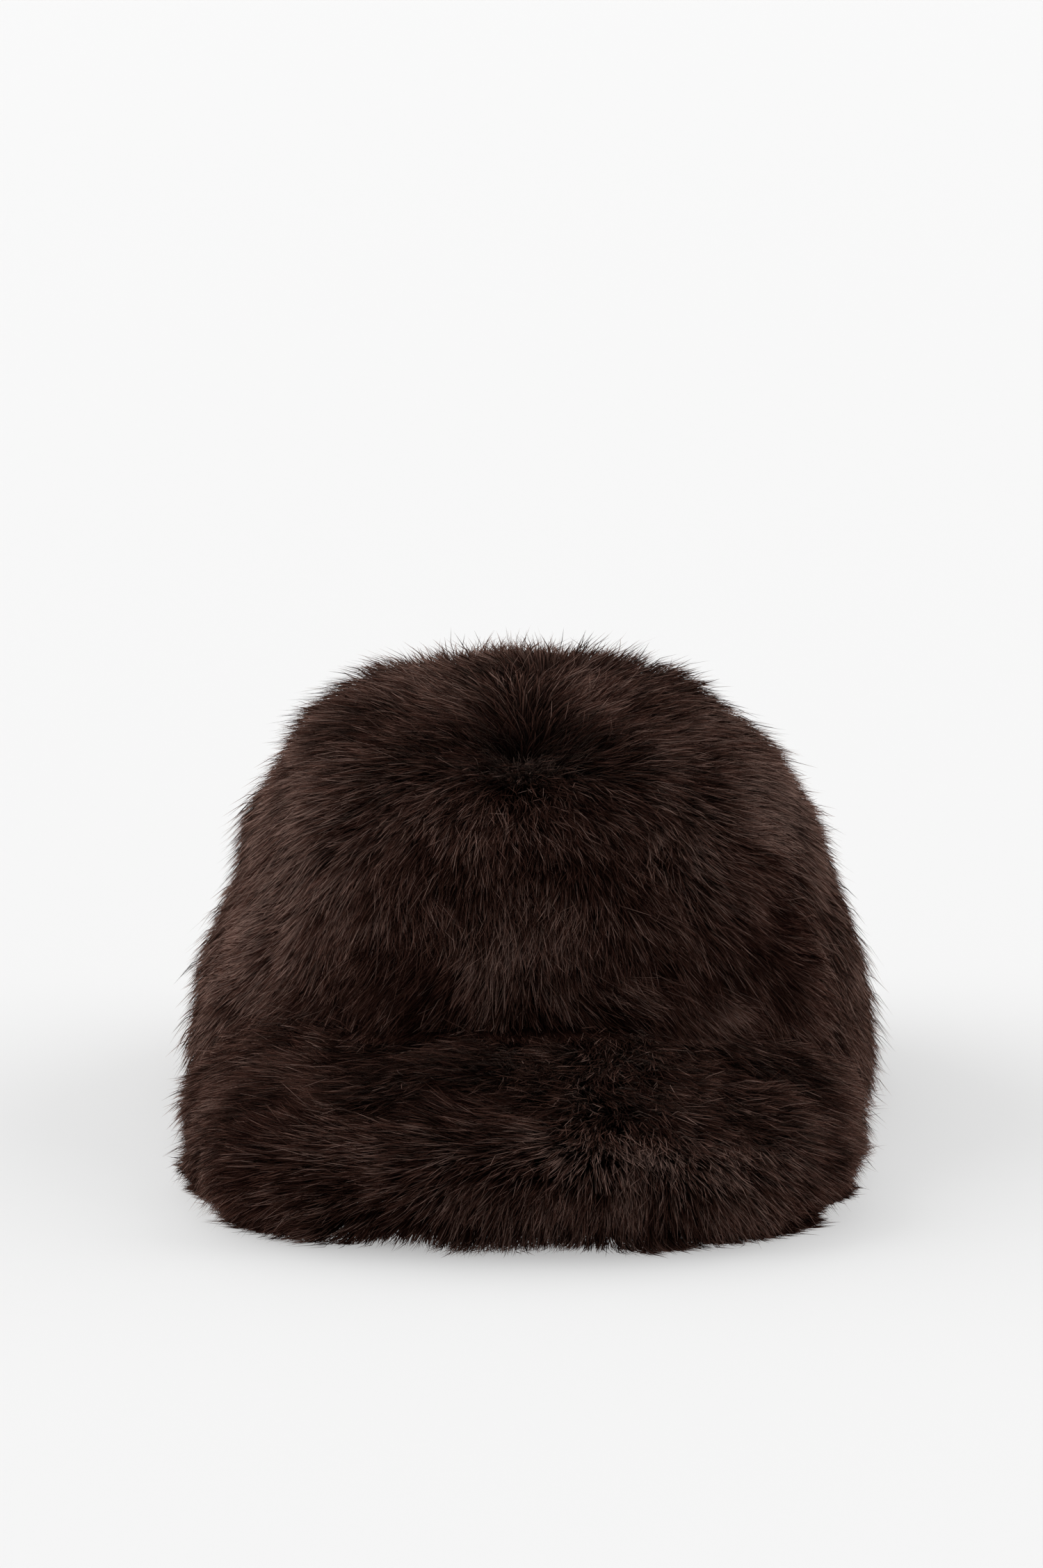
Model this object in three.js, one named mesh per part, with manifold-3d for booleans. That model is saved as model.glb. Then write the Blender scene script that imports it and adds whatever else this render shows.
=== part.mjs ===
// A faux fur baseball cap: six crown panels and a peak, all covered in a deep brown pile.
// Units are millimetres. +Z is up, the peak points to -Y, and the cap rests on z = 0.
// Right and left are the wearer's: right is -X and left is +X.
import * as THREE from "three";
import { mergeVertices } from "three/addons/utils/BufferGeometryUtils.js";
import Module from "manifold-3d";

const wasm = await Module();
wasm.setup();

// Faux fur fabric
const pileDepth = 16; // from the backing cloth out to the mean surface of the pile
const backingThickness = 2.5;
const panelGap = 0.4; // between the edges of two panels
const fitGap = 0.35; // between the crown, the peak's cover and its board

// Peak
const peakCentreX = -1.5; // the peak's outline is a rounded square about this point
const peakCentreY = -58;
const peakHalfWidth = 95;
const peakFront = 119; // from the centre forward
const peakBack = 30; // from the centre back, where its ends tuck into the crown's pile
const peakSquareness = 3; // 2 is an ellipse, more is squarer
const peakPile = 15; // pile beyond the board's edge
const peakPileAbove = 17;
const peakPileBelow = 16;
const peakTopSquareness = 4; // of the edge's profile above the board's middle
const peakUnderSquareness = 8; // and below it
const boardThickness = 4;
const hemUnderBoard = 14; // how far the fur is turned in below the board
const peakRootHeight = 42; // middle of the board's thickness over the peak's centre
const peakFrontHeight = 17;
const peakDroop = { root: 24, front: 11 }; // how much lower its sides are than its middle
const archRise = 27; // the crown's front hem rises with the peak
const archHalfSpan = 80;

// Locks of pile
const lockLength = 31;
const lockWidth = 18;
const lockThickness = 7;
const lockLift = 9; // degrees off the surface
const crownLockBend = 110; // radius to which the crown's locks curve back to the pile
const peakLockBend = { top: 130, edge: 23 };
const peakLockSize = { top: 0.9, edge: 0.62 };
const lockRoot = 3.2; // how deep a lock starts in the pile
const lockProud = 5; // the most that a lock's tip stands out of the pile
const lockSpacing = 21; // the least distance between the roots of two locks
const lockTries = 2500; // roots tried on a surface

// Where the frame's origin lies: below the middle of the whole cap, front to back. The
// locks at the front of the peak reach past its outline.
const peakLockReach = 7;
const crownBackReach = 119;
const originY = (peakCentreY - peakFront - peakLockReach + crownBackReach) / 2;

// The mean surface of the crown's pile, which leans: its front is lower than its back. A
// row is a section: its y and height at the front and at the back, the y where it is
// widest, and how far it reaches to the right and left there. The last row is the apex.
const crownSections = [
  { frontY: -112, frontZ: -18, backY: 113, backZ: -18, wideY: 0, right: 94, left: 95 },
  { frontY: -114.5, frontZ: -4, backY: 115.5, backZ: -4, wideY: 0, right: 96, left: 99 },
  { frontY: -116.5, frontZ: 10, backY: 117.5, backZ: 10, wideY: 0, right: 98.5, left: 102 },
  { frontY: -116, frontZ: 25, backY: 117, backZ: 25, wideY: 0, right: 98, left: 100.5 },
  { frontY: -113.5, frontZ: 40, backY: 115, backZ: 41, wideY: 0, right: 94.5, left: 97 },
  { frontY: -109, frontZ: 55, backY: 110.5, backZ: 57, wideY: 0, right: 89, left: 93.5 },
  { frontY: -102, frontZ: 71, backY: 104, backZ: 75, wideY: 1, right: 82.5, left: 87.5 },
  { frontY: -93, frontZ: 85, backY: 95, backZ: 92, wideY: 3, right: 76.5, left: 80.5 },
  { frontY: -84, frontZ: 96.5, backY: 84, backZ: 105.5, wideY: 6, right: 68, left: 69 },
  { frontY: -76.5, frontZ: 104, backY: 69, backZ: 115, wideY: 11, right: 57.5, left: 56.5 },
  { frontY: -71.5, frontZ: 108.3, backY: 52, backZ: 121, wideY: 15, right: 45, left: 44 },
  { frontY: -67.5, frontZ: 110.4, backY: 31, backZ: 122.5, wideY: 8, right: 31, left: 30 },
  { frontY: -64, frontZ: 111.4, backY: -5, backZ: 120.8, wideY: -24, right: 15, left: 15 },
  { frontY: -60, frontZ: 111.6, backY: -60, backZ: 111.6, wideY: -60, right: 0, left: 0 },
];

// The crown's panels. A panel is a gore between two seams, which meet at the apex. A
// seam is given by its plan angle from +X.
const apexY = -60;
const frontSeam = 270;
const backSeam = 90;
const leftSeams = { front: -8, back: 52 };
const rightSeams = { front: 188, back: 128 };
const panels = [
  { name: "panel_front_right", from: rightSeams.front, to: frontSeam },
  { name: "panel_front_left", from: frontSeam - 360, to: leftSeams.front },
  { name: "panel_side_left", from: leftSeams.front, to: leftSeams.back },
  { name: "panel_back_left", from: leftSeams.back, to: backSeam },
  { name: "panel_back_right", from: backSeam, to: rightSeams.back },
  { name: "panel_side_right", from: rightSeams.back, to: rightSeams.front },
];

const pileMaterial = new THREE.MeshStandardMaterial({
  color: 0x3a2a25,
  roughness: 0.85,
  metalness: 0,
  flatShading: true,
});
const boardMaterial = new THREE.MeshStandardMaterial({
  color: 0x2b201d,
  roughness: 0.8,
  metalness: 0,
  flatShading: true,
});

const radians = THREE.MathUtils.degToRad;
const random = () => THREE.MathUtils.seededRandom() - 0.5;
THREE.MathUtils.seededRandom(23);

// One smooth curve for each column of the section table.
const columnCurves = Object.fromEntries(
  Object.keys(crownSections[0]).map((column) => [
    column,
    new THREE.SplineCurve(crownSections.map((row, i) => new THREE.Vector2(i, row[column]))),
  ]),
);
const column = (name, rise) => columnCurves[name].getPoint(rise).y;

// A point on the crown's mean pile surface. angle is in radians from +X, and rise goes
// from 0 at the table's first row to 1 at the apex. Each section is four quarter ellipses.
function crownPoint(angle, rise) {
  const c = Math.cos(angle);
  const s = Math.sin(angle);
  const [wideY, frontY, backY] = [column("wideY", rise), column("frontY", rise), column("backY", rise)];
  const x = c * column(c < 0 ? "right" : "left", rise);
  const y = wideY + Math.abs(s) * ((s < 0 ? frontY : backY) - wideY);
  const share = backY > frontY ? (y - frontY) / (backY - frontY) : 0;
  const z = THREE.MathUtils.lerp(column("frontZ", rise), column("backZ", rise), share);
  return new THREE.Vector3(x, y, z);
}

// The surface's outward normal and its downhill direction there.
function crownFrame(angle, rise) {
  const step = 1e-3;
  const low = THREE.MathUtils.clamp(rise - step, 0, 1 - 3 * step);
  const high = low + 2 * step;
  const up = crownPoint(angle, high).sub(crownPoint(angle, low)).normalize();
  const around = crownPoint(angle + step, low).sub(crownPoint(angle - step, low));
  const normal = around.cross(up).normalize();
  return { normal, downhill: up.negate() };
}

// Merges a geometry's vertices, drops triangles with no area, and makes a solid of it.
function solidOf(geometry) {
  const bare = new THREE.BufferGeometry();
  bare.setAttribute("position", geometry.getAttribute("position").clone());
  if (geometry.index) bare.setIndex(geometry.index.clone());
  const merged = mergeVertices(bare, 1e-4);
  const kept = [];
  const index = merged.index.array;
  for (let i = 0; i < index.length; i += 3) {
    const [a, b, c] = index.slice(i, i + 3);
    if (a !== b && b !== c && c !== a) kept.push(a, b, c);
  }
  return new wasm.Manifold(
    new wasm.Mesh({
      numProp: 3,
      vertProperties: merged.getAttribute("position").array,
      triVerts: new Uint32Array(kept),
    }),
  );
}

// A closed solid skinned over rings of points, with a point that closes each end.
function loft(bottom, rings, top) {
  const count = rings[0].length;
  const points = [bottom, ...rings.flat(), top];
  const faces = [];
  for (let i = 0; i < count; i += 1) {
    const next = (i + 1) % count;
    const last = 1 + (rings.length - 1) * count;
    faces.push(0, 1 + next, 1 + i);
    faces.push(last + i, last + next, points.length - 1);
    for (let ring = 0; ring + 1 < rings.length; ring += 1) {
      const low = 1 + ring * count;
      const high = low + count;
      faces.push(low + i, low + next, high + next);
      faces.push(low + i, high + next, high + i);
    }
  }
  const geometry = new THREE.BufferGeometry().setFromPoints(points);
  geometry.setIndex(faces);
  return solidOf(geometry);
}

// The crown as a filled dome, its surface moved out along its normals by offset.
function crownDome(offset, around, rises) {
  const rings = rises.map((rise) =>
    Array.from({ length: around }, (_, i) => {
      const angle = (2 * Math.PI * i) / around;
      return crownPoint(angle, rise).addScaledVector(crownFrame(angle, rise).normal, offset);
    }),
  );
  const top = crownPoint(0, 1).add(new THREE.Vector3(0, 0, offset));
  return loft(new THREE.Vector3(0, 0, rings[0][0].z), rings, top);
}

// The height of the middle of the peak's board over a point of the plan. It falls to the
// front and, less and less towards the front, to the sides.
function peakHeight(x, y) {
  const forward = THREE.MathUtils.clamp((peakCentreY - y) / peakFront, 0, 1);
  const middle = THREE.MathUtils.lerp(peakRootHeight, peakFrontHeight, forward);
  const droop = THREE.MathUtils.lerp(peakDroop.root, peakDroop.front, forward);
  return middle - droop * ((x - peakCentreX) / (peakHalfWidth - peakPile)) ** 2;
}

// The point of the peak's plan at angle and share of the way out to its outline, which
// is drawn in by inset all round.
function peakPlan(angle, share, inset) {
  const c = Math.cos(angle);
  const s = Math.sin(angle);
  const reach =
    (Math.abs(c) ** peakSquareness + Math.abs(s) ** peakSquareness) ** (-1 / peakSquareness);
  const depth = (s < 0 ? peakFront : peakBack) - inset;
  return new THREE.Vector2(
    peakCentreX + (peakHalfWidth - inset) * reach * share * c,
    peakCentreY + depth * reach * share * s,
  );
}

// A point on the mean surface of the peak's pile. turn goes from 0 at the middle of its
// top over its rounded edge, at a right angle, to the middle of its underside. grow moves
// the surface outward.
function pillowPoint(angle, turn, grow = 0) {
  const isTop = turn < Math.PI / 2;
  const power = 2 / (isTop ? peakTopSquareness : peakUnderSquareness);
  const plan = peakPlan(angle, Math.sin(turn) ** power, -grow);
  const height = (isTop ? peakPileAbove : -peakPileBelow) + Math.sign(Math.cos(turn)) * grow;
  const z = peakHeight(plan.x, plan.y) + height * Math.abs(Math.cos(turn)) ** power;
  return new THREE.Vector3(plan.x, plan.y, z);
}

// The pile surface's outward normal there, and the way down its edge.
function pillowFrame(angle, turn) {
  const step = 1e-3;
  const downhill = pillowPoint(angle, turn + step).sub(pillowPoint(angle, turn - step));
  const around = pillowPoint(angle + step, turn).sub(pillowPoint(angle - step, turn));
  const normal = downhill.clone().cross(around).normalize();
  return { normal, downhill: downhill.normalize() };
}

// The peak's pile as a solid pillow.
function pillowSolid(grow) {
  const turns = [2.9, 2.2, 1.85, 1.65, 1.571, 1.45, 1.3, 1.05, 0.75, 0.4, 0.1];
  const rings = turns.map((turn) =>
    Array.from({ length: peakColumns }, (_, i) =>
      pillowPoint((2 * Math.PI * i) / peakColumns, turn, grow),
    ),
  );
  const middle = new THREE.Vector3(peakCentreX, peakCentreY, peakRootHeight);
  const bottom = middle.clone().setZ(peakRootHeight - peakPileBelow - grow);
  return loft(bottom, rings, middle.setZ(peakRootHeight + peakPileAbove + grow));
}

// A plate that follows the peak's curve, from below to above the board's middle, its
// outline drawn in by inset.
function plateSolid({ inset, above, below }) {
  const ring = (share, height) =>
    Array.from({ length: peakColumns }, (_, i) => {
      const plan = peakPlan((2 * Math.PI * i) / peakColumns, share, inset);
      return new THREE.Vector3(plan.x, plan.y, peakHeight(plan.x, plan.y) + height);
    });
  const shares = [0.35, 0.7, 1];
  const rings = [
    ...shares.map((share) => ring(share, -below)),
    ...shares.map((share) => ring(share, above)).reverse(),
  ];
  const middle = new THREE.Vector3(peakCentreX, peakCentreY, peakRootHeight);
  const bottom = middle.clone().setZ(peakRootHeight - below);
  return loft(bottom, rings, middle.setZ(peakRootHeight + above));
}

// One lock: a four-sided leaf from its root at the origin along +Y, which curves down
// to its tip on the radius bend.
function lockGeometry(size, bend) {
  const outline = [
    [0, 0],
    [0.36, 0],
    [0.5, 0.4],
    [0, 1],
  ].map(([radius, along]) => new THREE.Vector2(radius * lockWidth * size, along * lockLength * size));
  const geometry = new THREE.LatheGeometry(outline, 4).scale(1, 1, lockThickness / lockWidth);
  const points = geometry.getAttribute("position");
  for (let i = 0; i < points.count; i += 1)
    points.setZ(i, points.getZ(i) - points.getY(i) ** 2 / 2 / bend);
  return geometry;
}

// A lock rooted in a pile surface at its root, lying along flow and lifted off the surface.
function lockSolid({ root, normal, flow, size, bend }) {
  const across = new THREE.Vector3().crossVectors(flow, normal).normalize();
  const along = new THREE.Vector3().crossVectors(normal, across).normalize();
  along.applyAxisAngle(across, radians(lockLift));
  const out = new THREE.Vector3().crossVectors(across, along);
  const start = root.clone().addScaledVector(normal, -lockRoot);
  const place = new THREE.Matrix4().makeBasis(across, along, out).setPosition(start);
  return solidOf(lockGeometry(size, bend).applyMatrix4(place));
}

// How far the lie of the pile turns from straight downhill, in radians.
const pileSwirl = ({ x, y, z }) => 0.3 * Math.sin(x / 17 + z / 23) + 0.2 * Math.sin(y / 13 - z / 19);

// Roots locks at random over a surface, no two closer than the spacing. place makes a
// lock's root and the surface's frame from two random shares.
function scatterLocks(place) {
  const locks = [];
  for (let i = 0; i < lockTries; i += 1) {
    const { root, normal, downhill, size, bend } = place(random() + 0.5, random() + 0.5);
    if (locks.some((lock) => lock.root.distanceTo(root) < lockSpacing * size)) continue;
    const flow = downhill.applyAxisAngle(normal, pileSwirl(root) + 0.3 * random());
    locks.push({ root, normal, flow, size: size * (1 + 0.25 * random()), bend });
  }
  return locks;
}

function crownLocks() {
  return scatterLocks((turnShare, riseShare) => {
    const angle = 2 * Math.PI * turnShare;
    const rise = THREE.MathUtils.lerp(0.14, 0.97, riseShare);
    const root = crownPoint(angle, rise);
    const fromApex = Math.hypot(root.x, root.y - apexY);
    const size = Math.min(1, 0.6 + fromApex / 60);
    return { root, ...crownFrame(angle, rise), size, bend: crownLockBend };
  });
}

function peakLocks() {
  return scatterLocks((turnShare, dropShare) => {
    const angle = -Math.PI * turnShare;
    const turn = THREE.MathUtils.lerp(0.3, 1.6, dropShare);
    const edge = THREE.MathUtils.smoothstep(turn, 0.35, 0.85);
    const bend = THREE.MathUtils.lerp(peakLockBend.top, peakLockBend.edge, edge);
    const size = THREE.MathUtils.lerp(peakLockSize.top, peakLockSize.edge, edge);
    return { root: pillowPoint(angle, turn), ...pillowFrame(angle, turn), size, bend };
  });
}

// The plan of the gore between two seam angles as a prism that stands on the floor. Its
// sides keep half the panel gap from the seams.
function goreSpace(from, to) {
  const reach = 420;
  const inset = panelGap / 2 / Math.sin(radians(to - from) / 2);
  const middle = radians(from + to) / 2;
  const tip = new THREE.Vector2(Math.cos(middle), Math.sin(middle)).multiplyScalar(inset);
  tip.y += apexY;
  const corner = (angle) =>
    new THREE.Vector2(Math.cos(angle), Math.sin(angle)).multiplyScalar(reach).add(tip);
  const shape = new THREE.Shape([tip, corner(radians(from)), corner(radians(to))]);
  return solidOf(new THREE.ExtrudeGeometry(shape, { depth: reach, bevelEnabled: false }));
}

// The room under the crown's front hem, which rises with the peak's arch.
function archSpace() {
  const steps = 14;
  const outline = Array.from({ length: steps + 1 }, (_, i) => {
    const x = archHalfSpan * ((2 * i) / steps - 1);
    return new THREE.Vector2(x, archRise * Math.cos((Math.PI * x) / 2 / archHalfSpan));
  });
  outline.push(new THREE.Vector2(archHalfSpan, -5), new THREE.Vector2(-archHalfSpan, -5));
  const reach = 200;
  const geometry = new THREE.ExtrudeGeometry(new THREE.Shape(outline.reverse()), {
    depth: reach,
    bevelEnabled: false,
  });
  return solidOf(geometry.rotateX(Math.PI / 2));
}

// The space above the floor.
function aboveFloor() {
  const side = 600;
  return solidOf(new THREE.BoxGeometry(side, side, side).translate(0, 0, side / 2));
}

// Keeps a solid's largest body, so that a cut leaves no loose crumb of pile.
function largestBody(solid) {
  return solid.decompose().reduce((a, b) => (b.volume() > a.volume() ? b : a));
}

function meshOf(name, solid, material) {
  const { vertProperties, triVerts, numProp } = largestBody(solid).getMesh();
  const geometry = new THREE.BufferGeometry();
  const positions = new THREE.InterleavedBuffer(vertProperties, numProp);
  geometry.setAttribute("position", new THREE.InterleavedBufferAttribute(positions, 3, 0));
  geometry.setIndex(new THREE.BufferAttribute(triVerts, 1));
  const flat = geometry.toNonIndexed();
  flat.computeVertexNormals();
  const mesh = new THREE.Mesh(flat, material);
  mesh.name = name;
  return mesh;
}

const outerRises = [0, 0.12, 0.19, 0.27, 0.35, 0.43, 0.51, 0.59, 0.66, 0.73, 0.8, 0.86, 0.92, 0.97];
const innerRises = [0, 0.15, 0.27, 0.39, 0.5, 0.59, 0.66, 0.73, 0.8, 0.87, 0.94];
const domeColumns = 40;
const peakColumns = 40;

const backingCore = crownDome(-pileDepth, domeColumns, innerRises);
const hollow = crownDome(-pileDepth - backingThickness, domeColumns, innerRises);
const peakRoom = pillowSolid(fitGap);
const crownShell = crownDome(0, domeColumns, outerRises)
  .subtract(hollow)
  .subtract(archSpace());
const rootedLocks = crownLocks();

function panelMesh({ name, from, to }) {
  const reach = 0.35; // radians past the seams from which a lock may still cross them
  const middle = radians(from + to) / 2;
  const near = rootedLocks.filter(({ root }) => {
    const turn = Math.atan2(root.y - apexY, root.x) - middle;
    return Math.abs(Math.atan2(Math.sin(turn), Math.cos(turn))) < radians(to - from) / 2 + reach;
  });
  const isUnderPeak = ({ root }) =>
    Math.abs(root.x) < peakHalfWidth &&
    root.y < peakCentreY + peakBack &&
    root.z < peakHeight(root.x, root.y) + peakPileAbove;
  const gore = goreSpace(from, to);
  let solid = crownShell.intersect(gore);
  for (const lock of near.filter((each) => !isUnderPeak(each)))
    solid = solid.add(lockSolid(lock).subtract(hollow));
  solid = solid.intersect(gore).subtract(peakRoom.subtract(backingCore));
  return meshOf(name, solid, pileMaterial);
}

function peakMeshes() {
  const clearance = crownDome(-pileDepth + fitGap, domeColumns, innerRises);
  const half = boardThickness / 2;
  const board = plateSolid({ inset: peakPile, above: half, below: half });
  const boardRoom = plateSolid({
    inset: peakPile - fitGap,
    above: half + fitGap,
    below: half + fitGap,
  });
  const openUnderside = plateSolid({ inset: peakPile + hemUnderBoard, above: 0, below: 60 });
  const crownLocksRoom = crownDome(lockProud, domeColumns, outerRises);
  let cover = pillowSolid(0);
  for (const lock of peakLocks())
    cover = cover.add(lockSolid(lock).subtract(crownLocksRoom));
  cover = cover
    .subtract(boardRoom)
    .subtract(openUnderside)
    .subtract(clearance)
    .intersect(aboveFloor());
  return [
    meshOf("peak_fur_cover", cover, pileMaterial),
    meshOf("peak_board", board.subtract(clearance), boardMaterial),
  ];
}

const cap = new THREE.Group();
cap.add(...panels.map(panelMesh), ...peakMeshes());
cap.position.y = -originY;

export default cap;
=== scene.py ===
"""Dresses a faux fur baseball cap: six crown panels and a peak in long dark brown pile.

Shapes are worked out in millimetres in the crown's own frame and become metres in the
row's frame when a mesh is made. +Z is up and the peak points to -Y. Right and left are the
wearer's: right is -X and left is +X.
"""

import logging
import math
from collections.abc import Callable
from dataclasses import dataclass, field, replace
from enum import Enum

import bpy
import numpy as np
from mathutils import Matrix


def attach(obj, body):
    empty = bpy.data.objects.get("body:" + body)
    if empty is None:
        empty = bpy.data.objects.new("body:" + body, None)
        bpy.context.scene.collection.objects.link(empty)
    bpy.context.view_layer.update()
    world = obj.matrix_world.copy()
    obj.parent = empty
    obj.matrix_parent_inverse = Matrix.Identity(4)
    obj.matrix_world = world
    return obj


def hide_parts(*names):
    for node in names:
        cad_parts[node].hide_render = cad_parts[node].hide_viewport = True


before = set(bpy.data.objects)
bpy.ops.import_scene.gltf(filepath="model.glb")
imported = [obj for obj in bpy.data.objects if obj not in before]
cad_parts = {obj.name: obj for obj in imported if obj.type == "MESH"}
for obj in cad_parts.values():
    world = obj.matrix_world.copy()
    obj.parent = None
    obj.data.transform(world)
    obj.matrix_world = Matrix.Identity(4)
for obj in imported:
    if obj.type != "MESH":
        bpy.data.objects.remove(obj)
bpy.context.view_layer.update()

LOG = logging.getLogger("fur_cap")
BODY = "root"
FRAME_SHIFT = np.array([0.0, 32.5, 0.0])  # from the crown's frame to the row's
METRE = 0.001
STRAND_MAP = "OFBake"  # u is a strand's tone and v runs from its root to its tip
WHORL = np.array([-1.0, -56.0, 112.5])  # of the crown's pile
FLOOR_CLEARANCE = np.array([0.5, 0.6, 0.5])  # of a strand's root, middle and tip
FLOOR_SLIDE = 0.2  # how far a strand moves on for each millimetre that the floor lifts it
ROOT_SCATTER = 1.2  # of the roots' depth, either way
TINY = 1e-9  # keeps a length or a sign from being nothing

Array = np.ndarray
Surface = Callable[[Array, Array], Array]


def unit(v: Array) -> Array:
    """Returns v with every row scaled to a length of 1."""
    return v / np.maximum(np.linalg.norm(v, axis=-1, keepdims=True), TINY)


def dot(a: Array, b: Array) -> Array:
    """Returns the row by row dot product, kept as a last axis of 1."""
    return (a * b).sum(-1, keepdims=True)


def turned(v: Array, axis: Array, angle: Array) -> Array:
    """Returns v turned about a unit axis square to it: v cos(angle) + (axis x v) sin(angle)."""
    angle = angle[..., None]
    return v * np.cos(angle) + np.cross(axis, v) * np.sin(angle)


def smooth(x: Array, low: float, high: float) -> Array:
    """Returns the smooth step 3t^2 - 2t^3 of x between low and high, which may be swapped."""
    t = np.clip((x - low) / (high - low), 0.0, 1.0)
    return t * t * (3 - 2 * t)


def bisected(
    low: Array, high: Array, is_past: Callable[[Array], Array], halvings: int
) -> Array:
    """Halves the spans between low and high down to where is_past turns true.

    Args:
        low: values at which it is false.
        high: values at which it is true.
        is_past: tells for one value a span whether it lies past the place.
        halvings: how often the spans are halved.

    Returns:
        The middle of what is left of each span.
    """
    for _ in range(halvings):
        middle = (low + high) / 2
        past = is_past(middle)
        low, high = np.where(past, low, middle), np.where(past, middle, high)
    return (low + high) / 2


def waves(p: Array, scale: float, seed: int, count: int = 14) -> Array:
    """Returns smooth noise of about unit strength at p.

    It is a sum of sines, sqrt(2 / count) sin(k . p + phase), whose wave vectors k point at
    random and have lengths near 2 pi / (3 scale).

    Args:
        p: points, one a row, in millimetres.
        scale: the size of a lump, in millimetres.
        seed: of the wave vectors and phases.
        count: how many waves are summed.

    Returns:
        One value a point.
    """
    rng = np.random.default_rng(seed)
    k = unit(rng.normal(size=(count, 3))) * rng.uniform(0.6, 1.4, (count, 1))
    k *= 2 * math.pi / (3 * scale)
    phase = rng.uniform(0, 2 * math.pi, count)
    return np.sin(p @ k.T + phase).sum(-1) * math.sqrt(2 / count)


@dataclass(frozen=True)
class Section:
    """One level of the crown's mean pile surface, in millimetres."""

    front_y: float
    front_z: float
    back_y: float
    back_z: float
    wide_y: float
    right: float
    left: float


@dataclass(frozen=True)
class CrownForm:
    """The mean surface of the crown's pile, as a stack of sections that lean forward."""

    sections: tuple[Section, ...] = (
        Section(-112, -18, 113, -18, 0, 94, 95),
        Section(-114.5, -4, 115.5, -4, 0, 96, 99),
        Section(-116.5, 10, 117.5, 10, 0, 98.5, 102),
        Section(-116, 25, 117, 25, 0, 98, 100.5),
        Section(-113.5, 40, 115, 41, 0, 94.5, 97),
        Section(-109, 55, 110.5, 57, 0, 89, 93.5),
        Section(-102, 71, 104, 75, 1, 82.5, 87.5),
        Section(-93, 85, 95, 92, 3, 76.5, 80.5),
        Section(-84, 96.5, 84, 105.5, 6, 68, 69),
        Section(-76.5, 104, 69, 115, 11, 57.5, 56.5),
        Section(-71.5, 108.3, 52, 121, 15, 45, 44),
        Section(-67.5, 110.4, 31, 122.5, 8, 31, 30),
        Section(-64, 111.4, -5, 120.8, -24, 15, 15),
        Section(-60, 111.6, -60, 111.6, -60, 0, 0),
    )
    apex_y: float = -60
    pile_depth: float = 16
    backing: float = 2.5
    arch_rise: float = 27  # of the hem over the peak
    arch_half_span: float = 80
    hem_gap: float = 0.4  # between the hem and the floor

    def column(self, name: str, rise: Array) -> Array:
        """Reads a column of the table along a smooth curve through its rows.

        It is a uniform Catmull-Rom curve: between rows a and b, with a slope at each row of
        half the step between its neighbours, it is the cubic
        (2a - 2b + sa + sb) t^3 + (3b - 3a - 2sa - sb) t^2 + sa t + a.

        Args:
            name: of the column.
            rise: 0 at the table's first row and 1 at the apex.

        Returns:
            The column's value for each rise.
        """
        value = np.array([getattr(row, name) for row in self.sections], float)
        last = len(value) - 1
        place = np.clip(rise, 0, 1) * last
        low = np.minimum(place.astype(int), last - 1)
        t = place - low
        before, a = value[np.maximum(low - 1, 0)], value[low]
        b, after = value[low + 1], value[np.minimum(low + 2, last)]
        slope_a, slope_b = (b - before) / 2, (after - a) / 2
        cubic = 2 * a - 2 * b + slope_a + slope_b
        square = 3 * b - 3 * a - 2 * slope_a - slope_b
        return ((cubic * t + square) * t + slope_a) * t + a

    def point(self, angle: Array, rise: Array) -> Array:
        """Works out the surface's points: each section is four quarter ellipses.

        x = reach cos(angle) and y = wide_y + |sin(angle)| (end_y - wide_y), where reach and
        end_y are the right or left and front or back values of the section. z goes
        straight from front_z to back_z along y.

        Args:
            angle: round the section, in radians from +X.
            rise: of the section, from 0 at the lowest one to 1 at the apex.

        Returns:
            A point for each pair of angle and rise.
        """
        angle, rise = np.broadcast_arrays(angle, rise)
        c, s = np.cos(angle), np.sin(angle)
        front, back = self.column("front_y", rise), self.column("back_y", rise)
        wide = self.column("wide_y", rise)
        x = c * np.where(c < 0, self.column("right", rise), self.column("left", rise))
        y = wide + np.abs(s) * (np.where(s < 0, front, back) - wide)
        share = (y - front) / np.maximum(back - front, 1e-6)
        low, high = self.column("front_z", rise), self.column("back_z", rise)
        return np.stack([x, y, low + (high - low) * share], -1)

    def frame(self, angle: Array, rise: Array) -> tuple[Array, Array]:
        """Works out the surface's directions from small steps along it.

        Args:
            angle: round the section.
            rise: of the section.

        Returns:
            The outward normal and the downhill direction of each point.
        """
        step = 1e-3
        low = np.clip(rise - step, 0, 1 - 3 * step)
        up = unit(self.point(angle, low + 2 * step) - self.point(angle, low))
        around = self.point(angle + step, low) - self.point(angle - step, low)
        return unit(np.cross(around, up)), -up

    def offset_point(self, angle: Array, rise: Array, offset: Array) -> Array:
        """Returns the surface's points moved outwards along the normal by offset."""
        normal, _ = self.frame(angle, rise)
        return self.point(angle, rise) + normal * np.asarray(offset)[..., None]

    def seam_angle(self, plan: float, rise: Array) -> Array:
        """Returns the section angle at which a vertical seam through the apex runs.

        Args:
            plan: the seam's plan angle about the apex, in degrees from +X.
            rise: the rises at which it is wanted.

        Returns:
            The angle for each rise, in radians.
        """
        seam = math.radians(plan)

        def is_past(angle: Array) -> Array:
            """Tells on which side of the seam's plane the section's point lies."""
            p = self.point(angle, rise)
            return math.cos(seam) * (p[..., 1] - self.apex_y) - math.sin(seam) * p[..., 0] > 0

        low = np.full_like(rise, seam - math.pi / 2)
        high = np.full_like(rise, seam + math.pi / 2)
        return bisected(low, high, is_past, halvings=30)

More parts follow.
